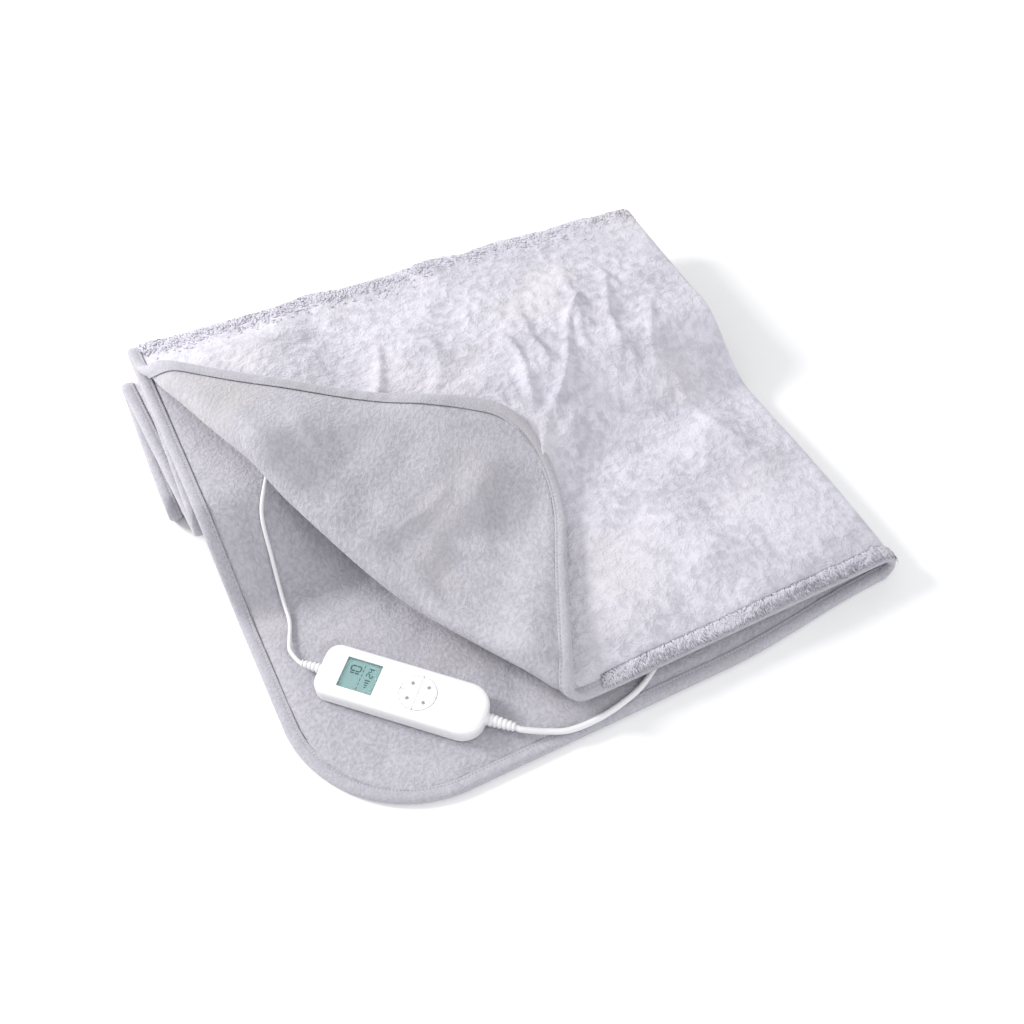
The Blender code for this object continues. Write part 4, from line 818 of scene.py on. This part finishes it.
thread = maths(tree, "MULTIPLY", band, mapped(tree, beat, -0.55, -0.2))
# The groove where the stitches pull the tape down is darkened here: painted shade.
groove_shade = maths(tree, "MULTIPLY", band, 0.55)
tape = blend_colours(tree, groove_shade, pile.outputs["Colour"], (0.27, 0.262, 0.30, 1))
tree.links.new(blend_colours(tree, thread, tape, (0.50, 0.49, 0.54, 1)), shader.inputs["Base Color"])
tree.links.new(maths(tree, "ADD", pile.outputs["Height"], thread), raised.inputs["Height"])
binding.data.materials.append(bound_material)

# %% Shared effect: moulded plastic
moulded, given, gives = group(
    "moulded_surface", [("Place", VECTOR, None), ("Base", COLOUR, (0.8, 0.8, 0.8, 1)),
                        ("Grain", FLOAT, 1500.0), ("Gloss", FLOAT, 0.3), ("Marks", FLOAT, 0.1)],
    [("Colour", COLOUR), ("Roughness", FLOAT), ("Height", FLOAT)])
smears = mapped(moulded, noise(moulded, given["Place"], 55.0, 4.0, Distortion=1.2), 0.45, 0.7)
smears = maths(moulded, "MULTIPLY", smears, given["Marks"])
worn = maths(moulded, "MULTIPLY", smears, 0.35)
moulded.links.new(blend_colours(moulded, worn, given["Base"], (0.62, 0.60, 0.58, 1)), gives["Colour"])
moulded.links.new(maths(moulded, "ADD", given["Gloss"], smears), gives["Roughness"])
moulded.links.new(noise(moulded, given["Place"], given["Grain"]), gives["Height"])


def plastic_finish(name, base, gloss, marks=0.12, grain=1500.0, bump=0.06, **constants):
    """A moulded plastic, rubber or metal: one colour, with handling marks in its gloss and a fine grain."""
    material, tree, shader = finish(name, **constants)
    place = put(tree, "ShaderNodeTexCoord").outputs["Object"]
    settings = {"Base": (*base, 1), "Grain": grain, "Gloss": gloss, "Marks": marks}
    dressed(tree, shader, moulded, place, settings, bump, 0.0002)
    return material


FINISHES = {
    "shell": plastic_finish("white_case", (0.87, 0.87, 0.88), 0.22, Coat_Weight=0.25, Coat_Roughness=0.12),
    "key": plastic_finish("key_caps", (0.84, 0.84, 0.85), 0.30, marks=0.2,
                          Coat_Weight=0.1, Coat_Roughness=0.2),
    "cord": plastic_finish("white_jacket", (0.80, 0.80, 0.815), 0.42, marks=0.15, grain=2600.0, bump=0.12),
    "screen": plastic_finish("display_glass", (0.50, 0.80, 0.785), 0.18, marks=0.05, bump=0.02,
                             Coat_Weight=0.5, Coat_Roughness=0.06),
    "board": plastic_finish("circuit_laminate", (0.03, 0.16, 0.07), 0.35, grain=900.0, bump=0.15),
    "black": plastic_finish("black_moulding", (0.025, 0.025, 0.028), 0.38),
    "amber": plastic_finish("amber_lacquer", (0.55, 0.24, 0.05), 0.3),
    "brass": plastic_finish("nickelled_brass", (0.78, 0.70, 0.52), 0.26, Metallic=1.0),
    "steel": plastic_finish("zinc_steel", (0.62, 0.63, 0.65), 0.33, Metallic=1.0),
    "wire": plastic_finish("silicone_wire", (0.62, 0.60, 0.63), 0.5),
    "mark": plastic_finish("grey_print", (0.30, 0.30, 0.33), 0.55),
    "digit": plastic_finish("display_ink", (0.040, 0.17, 0.18), 0.35),
}
FINISHES["window"], tree, shader = finish("clear_window", Transmission_Weight=1.0, IOR=1.46, Alpha=1.0,
                                          Base_Color=(0.96, 0.99, 0.99, 1))
streaks = noise(tree, put(tree, "ShaderNodeTexCoord").outputs["Object"], 90.0, 3.0)
tree.links.new(mapped(tree, streaks, 0.0, 1.0, 0.02, 0.07), shader.inputs["Roughness"])
wire.data.materials.append(FINISHES["wire"])
for cord_piece in (lead_cord, mains_cord):
    cord_piece.data.materials.append(FINISHES["cord"])

# %% [markdown]
# ## The controller
# The case is a moulded clam shell with a display window, a round pad of four keys, and a ribbed
# rubber sleeve where each lead goes in. The CAD shells already have the right shape; a merged copy
# of each is shaded smooth across its rounded edges and bevelled finely where its walls meet. The
# sleeves are turned afresh, with soft ribs, because they catch the light close to the eye.

# %% Copies of CAD nodes with soft edges
NODE_BODY = {f"key_{way}": f"{way}_key" for way in ("up", "down", "left", "right")}
NODE_BODY.update({name: "lead_connector" for name in ("lead_plug", "lead_plug_relief")})


def softened(node, finish_name, bevel, angle=math.radians(32)):
    """A copy of a CAD node, its points merged, with a small round on every edge sharper than angle."""
    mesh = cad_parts[node].data.copy()
    mesh.name = node + "_soft"
    copy = bpy.data.objects.new(node + "_soft", mesh)
    bpy.context.collection.objects.link(copy)
    work = bmesh.new()
    work.from_mesh(mesh)
    bmesh.ops.remove_doubles(work, verts=work.verts, dist=2e-6)
    bmesh.ops.dissolve_limit(work, angle_limit=math.radians(0.6), verts=work.verts, edges=work.edges)
    work.to_mesh(mesh)
    work.free()
    mesh.materials.clear()
    mesh.materials.append(FINISHES[finish_name])
    mesh.shade_smooth()
    mesh.set_sharp_from_angle(angle=angle)
    if bevel:
        edge = copy.modifiers.new("round", "BEVEL")
        edge.width, edge.segments, edge.limit_method, edge.angle_limit = bevel, 2, "ANGLE", angle
        edge.harden_normals = True
    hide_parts(node)
    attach(copy, NODE_BODY.get(node, "throw"))


softened("controller_top_cover", "shell", 0.00035)
for node in ("controller_bottom_cover", "lead_plug", "blanket_socket", "socket_flange"):
    softened(node, "shell", 0.0003)
for node in ("key_up", "key_down", "key_left", "key_right"):
    softened(node, "key", 0.0003)
softened("lcd_window", "window", 0.0)
softened("mains_plug", "cord", 0.0004)
for node in ("lead_plug_relief", "mains_plug_relief"):
    softened(node, "cord", 0.0, math.radians(40))
for finish_name, names in (
        ("screen", "lcd_glass"), ("key", "lcd_backlight"), ("board", "circuit_board"), ("amber", "capacitor"),
        ("black", "triac switch_up switch_down switch_left switch_right"),
        ("steel", "fuse case_screw_1 case_screw_2 case_screw_3 case_screw_4"),
        ("cord", "lead_cord_anchor mains_cord_anchor"),
        ("brass", "socket_pin_1 socket_pin_2 plug_contact_1 plug_contact_2 plug_pin_1 plug_pin_2")):
    for name in names.split():
        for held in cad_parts[name].material_slots:
            held.material = FINISHES[finish_name]

# %% Turned sleeves where a lead goes in
PAD_AT = np.array([-0.182, -0.17975, 0.0087])         # the middle of the controller's underside
HEADING = math.radians(-44.7)
ALONG = np.array([math.cos(HEADING), math.sin(HEADING), 0.0])
ACROSS = np.array([-math.sin(HEADING), math.cos(HEADING), 0.0])
CASE_END, AXIS_UP = 0.0823, np.array([0, 0, 0.0085])
BORE_GAP, RIB_DEPTH = 0.0001, 0.00075


def turned(name, profile, start, ahead, sides=40):
    """A surface of revolution, start + along * axis + radius (cos t side + sin t up), from its profile."""
    along, radius = profile.T
    side = np.array([-ahead[1], ahead[0], 0.0])
    t = np.linspace(0, 2 * math.pi, sides, endpoint=False)
    ring = np.cos(t)[:, None] * side + np.sin(t)[:, None] * np.array([0.0, 0.0, 1.0])
    points = start + along[:, None, None] * ahead + radius[:, None, None] * ring
    return mesh_piece(name, points.reshape(-1, 3), grid_quads(len(profile), sides, True, True))


def ribbed(bore, root, tip, reach, ribs):
    """Profile of a sleeve: collars with round shoulders, smaller to the tip, then back along the bore."""
    u = np.linspace(0, reach, ribs * 12 + 1)
    envelope = root + (tip - root) * u / reach
    wave = 0.5 + 0.5 * np.tanh(5 * np.cos(2 * math.pi * ribs * u / reach + 0.4) + 1.5)
    outer = np.stack([u, envelope - RIB_DEPTH * (1 - wave)], -1)
    end = [(reach + 0.0004, tip - 0.0006), (reach + 0.0004, bore), (-0.0005, bore), (-0.0005, root - 0.0005)]
    return np.vstack([outer, end])


for name, node, way, profile in (
        ("lead_sleeve", "lead_strain_relief", -ALONG,
         ribbed(LEAD_R + BORE_GAP, root=0.0052, tip=0.0033, reach=0.0205, ribs=5)),
        ("mains_sleeve", "mains_strain_relief", ALONG,
         ribbed(MAINS_R + BORE_GAP, root=0.0064, tip=0.0044, reach=0.0265, ribs=6))):
    sleeve = turned(name, profile, PAD_AT + CASE_END * way + AXIS_UP, way)
    sleeve.data.materials.append(FINISHES["cord"])
    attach(sleeve, "throw")
    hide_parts(node)

# %% [markdown]
# ## Display and key marks
# The display shows two numerals and a few small signs, each a thin raised bar, as on any segment
# display. A small grey mark on each key tells it from its neighbours.

# %% Bars of the display and marks on the keys
def bars(name, boxes, height, thickness, body, finish_name):
    """Thin six-sided slabs on the controller, at one height, from (u, v, half length, half width, turn)."""
    u, v, half_long, half_wide, turn = (column[:, None] for column in np.array(boxes, float).T)
    cut = np.array([(-1, 0), (-0.82, -1), (0.82, -1), (1, 0), (0.82, 1), (-0.82, 1)])
    flat_u, flat_v = cut[:, 0] * half_long, cut[:, 1] * half_wide
    c, s = np.cos(turn), np.sin(turn)
    u, v = u + c * flat_u - s * flat_v, v + s * flat_u + c * flat_v
    base = PAD_AT + u[..., None] * ALONG + v[..., None] * ACROSS
    points = np.stack([base + (0, 0, height), base + (0, 0, height + thickness)], 1).reshape(-1, 3)
    first = np.arange(len(boxes))[:, None] * 12
    k = np.arange(6)
    k2 = (k + 1) % 6
    sides = (first[..., None] + np.stack([k, k2, k2 + 6, k + 6], -1)).reshape(-1, 4)
    caps = ((6, 7, 8, 9), (6, 9, 10, 11), (3, 2, 1, 0), (5, 4, 3, 0))
    caps = np.vstack([first + np.array([cap]) for cap in caps])
    piece = mesh_piece(name, points, np.vstack([sides, caps]))
    piece.data.polygons.foreach_set("use_smooth", np.zeros(len(piece.data.polygons), dtype=bool))
    piece.data.materials.append(FINISHES[finish_name])
    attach(piece, body)
    return piece


SEGMENTS = {"0": "abcdef", "1": "bc", "2": "abged", "4": "fgbc"}
PRINT = 0.00012                       # how far the display's bars and the keys' marks stand up
LCD_U, LCD_HEIGHT = -0.0425, 0.01530
BIG_U, SMALL_U = LCD_U - 0.0065, LCD_U + 0.0082
KEYS_U, RIB_HEIGHT, KEY_HEIGHT, MARK_R = 0.0155, 0.0160, 0.01948, 0.0112


def numeral(digit, u, v, tall, wide, thick):
    """Bars of one seven-segment numeral, read with the lead's end up, so up is -u and right is +v."""
    half_t, half_w = tall / 2, wide / 2
    places = {"a": (-half_t, 0, 1), "g": (0, 0, 1), "d": (half_t, 0, 1),
              "f": (-half_t / 2, -half_w, 0), "b": (-half_t / 2, half_w, 0),
              "e": (half_t / 2, -half_w, 0), "c": (half_t / 2, half_w, 0)}
    rows = []
    for name in SEGMENTS[digit]:
        du, dv, level = places[name]
        shape = (half_w * 0.86, thick, math.pi / 2) if level else (half_t * 0.44, thick, 0.0)
        rows.append((u + du, v + dv, *shape))
    return rows


shown = []
for digit, u, v, tall, wide, thick in (
        ("1", BIG_U, -0.0005, 0.0095, 0.0052, 0.00062), ("0", BIG_U, 0.0070, 0.0095, 0.0052, 0.00062),
        ("2", SMALL_U, 0.0035, 0.0060, 0.0034, 0.00045), ("4", SMALL_U, 0.0088, 0.0060, 0.0034, 0.00045)):
    shown += numeral(digit, u, v, tall, wide, thick)
shown += [(SMALL_U, -0.0090 + 0.0024 * k, 0.0010 + 0.0006 * k, 0.00055, 0.0) for k in range(4)]
shown += [(LCD_U + 0.0010, -0.0120 + 0.0046 * k, 0.0016, 0.00030, math.pi / 2) for k in range(6)]
display = bars("display_segments", shown, LCD_HEIGHT, PRINT, "throw", "digit")
cross = [(KEYS_U, 0, 0.0176, 0.00024, math.radians(90 * k)) for k in range(2)]
bars("key_pad_ribs", cross, RIB_HEIGHT, 0.0032, "throw", "shell")
for way, turn in (("up", 45), ("left", 135), ("down", 225), ("right", 315)):
    a = math.radians(turn)
    spot = (KEYS_U + MARK_R * math.cos(a), MARK_R * math.sin(a), 0.0017, 0.0014, a)
    bars("mark_" + way, [spot], KEY_HEIGHT, PRINT, way + "_key", "mark")

# %% Floor and light
FLOOR_HALF = 6.0
floor_corners = np.array([(-1, -1, 0), (1, -1, 0), (1, 1, 0), (-1, 1, 0)]) * FLOOR_HALF
floor = mesh_piece("floor", floor_corners, np.array([[0, 1, 2, 3]]))
floor_material, tree, shader = finish("studio_paper", Specular_IOR_Level=0.1, Roughness=1.0)
speckle = noise(tree, put(tree, "ShaderNodeTexCoord").outputs["Object"], 3.0, 4.0)
paper = blend_colours(tree, speckle, (0.945, 0.945, 0.945, 1), (0.965, 0.965, 0.965, 1))
tree.links.new(paper, shader.inputs["Base Color"])
floor.data.materials.append(floor_material)


def lamp(name, place, size, power, colour):
    """A round area lamp that points at the origin."""
    light = bpy.data.lights.new(name, "AREA")
    light.shape, light.size, light.energy, light.color = "DISK", size, power, colour
    thing = bpy.data.objects.new(name, light)
    thing.location = place
    thing.rotation_euler = Vector(place).to_track_quat("Z", "Y").to_euler()
    bpy.context.collection.objects.link(thing)


lamp("key_light", (-1.6, 1.45, 1.30), 0.70, 52, (1.0, 0.985, 0.97))
lamp("fill_light", (0.6, -1.8, 2.0), 2.0, 16, (0.97, 0.98, 1.0))
world = bpy.data.worlds.new("studio")
bpy.context.scene.world = world
world.use_nodes = True
sky = world.node_tree.nodes["Background"].inputs
sky["Color"].default_value, sky["Strength"].default_value = (0.98, 0.985, 1.0, 1), 0.78
bpy.context.scene.view_settings.view_transform = "Standard"
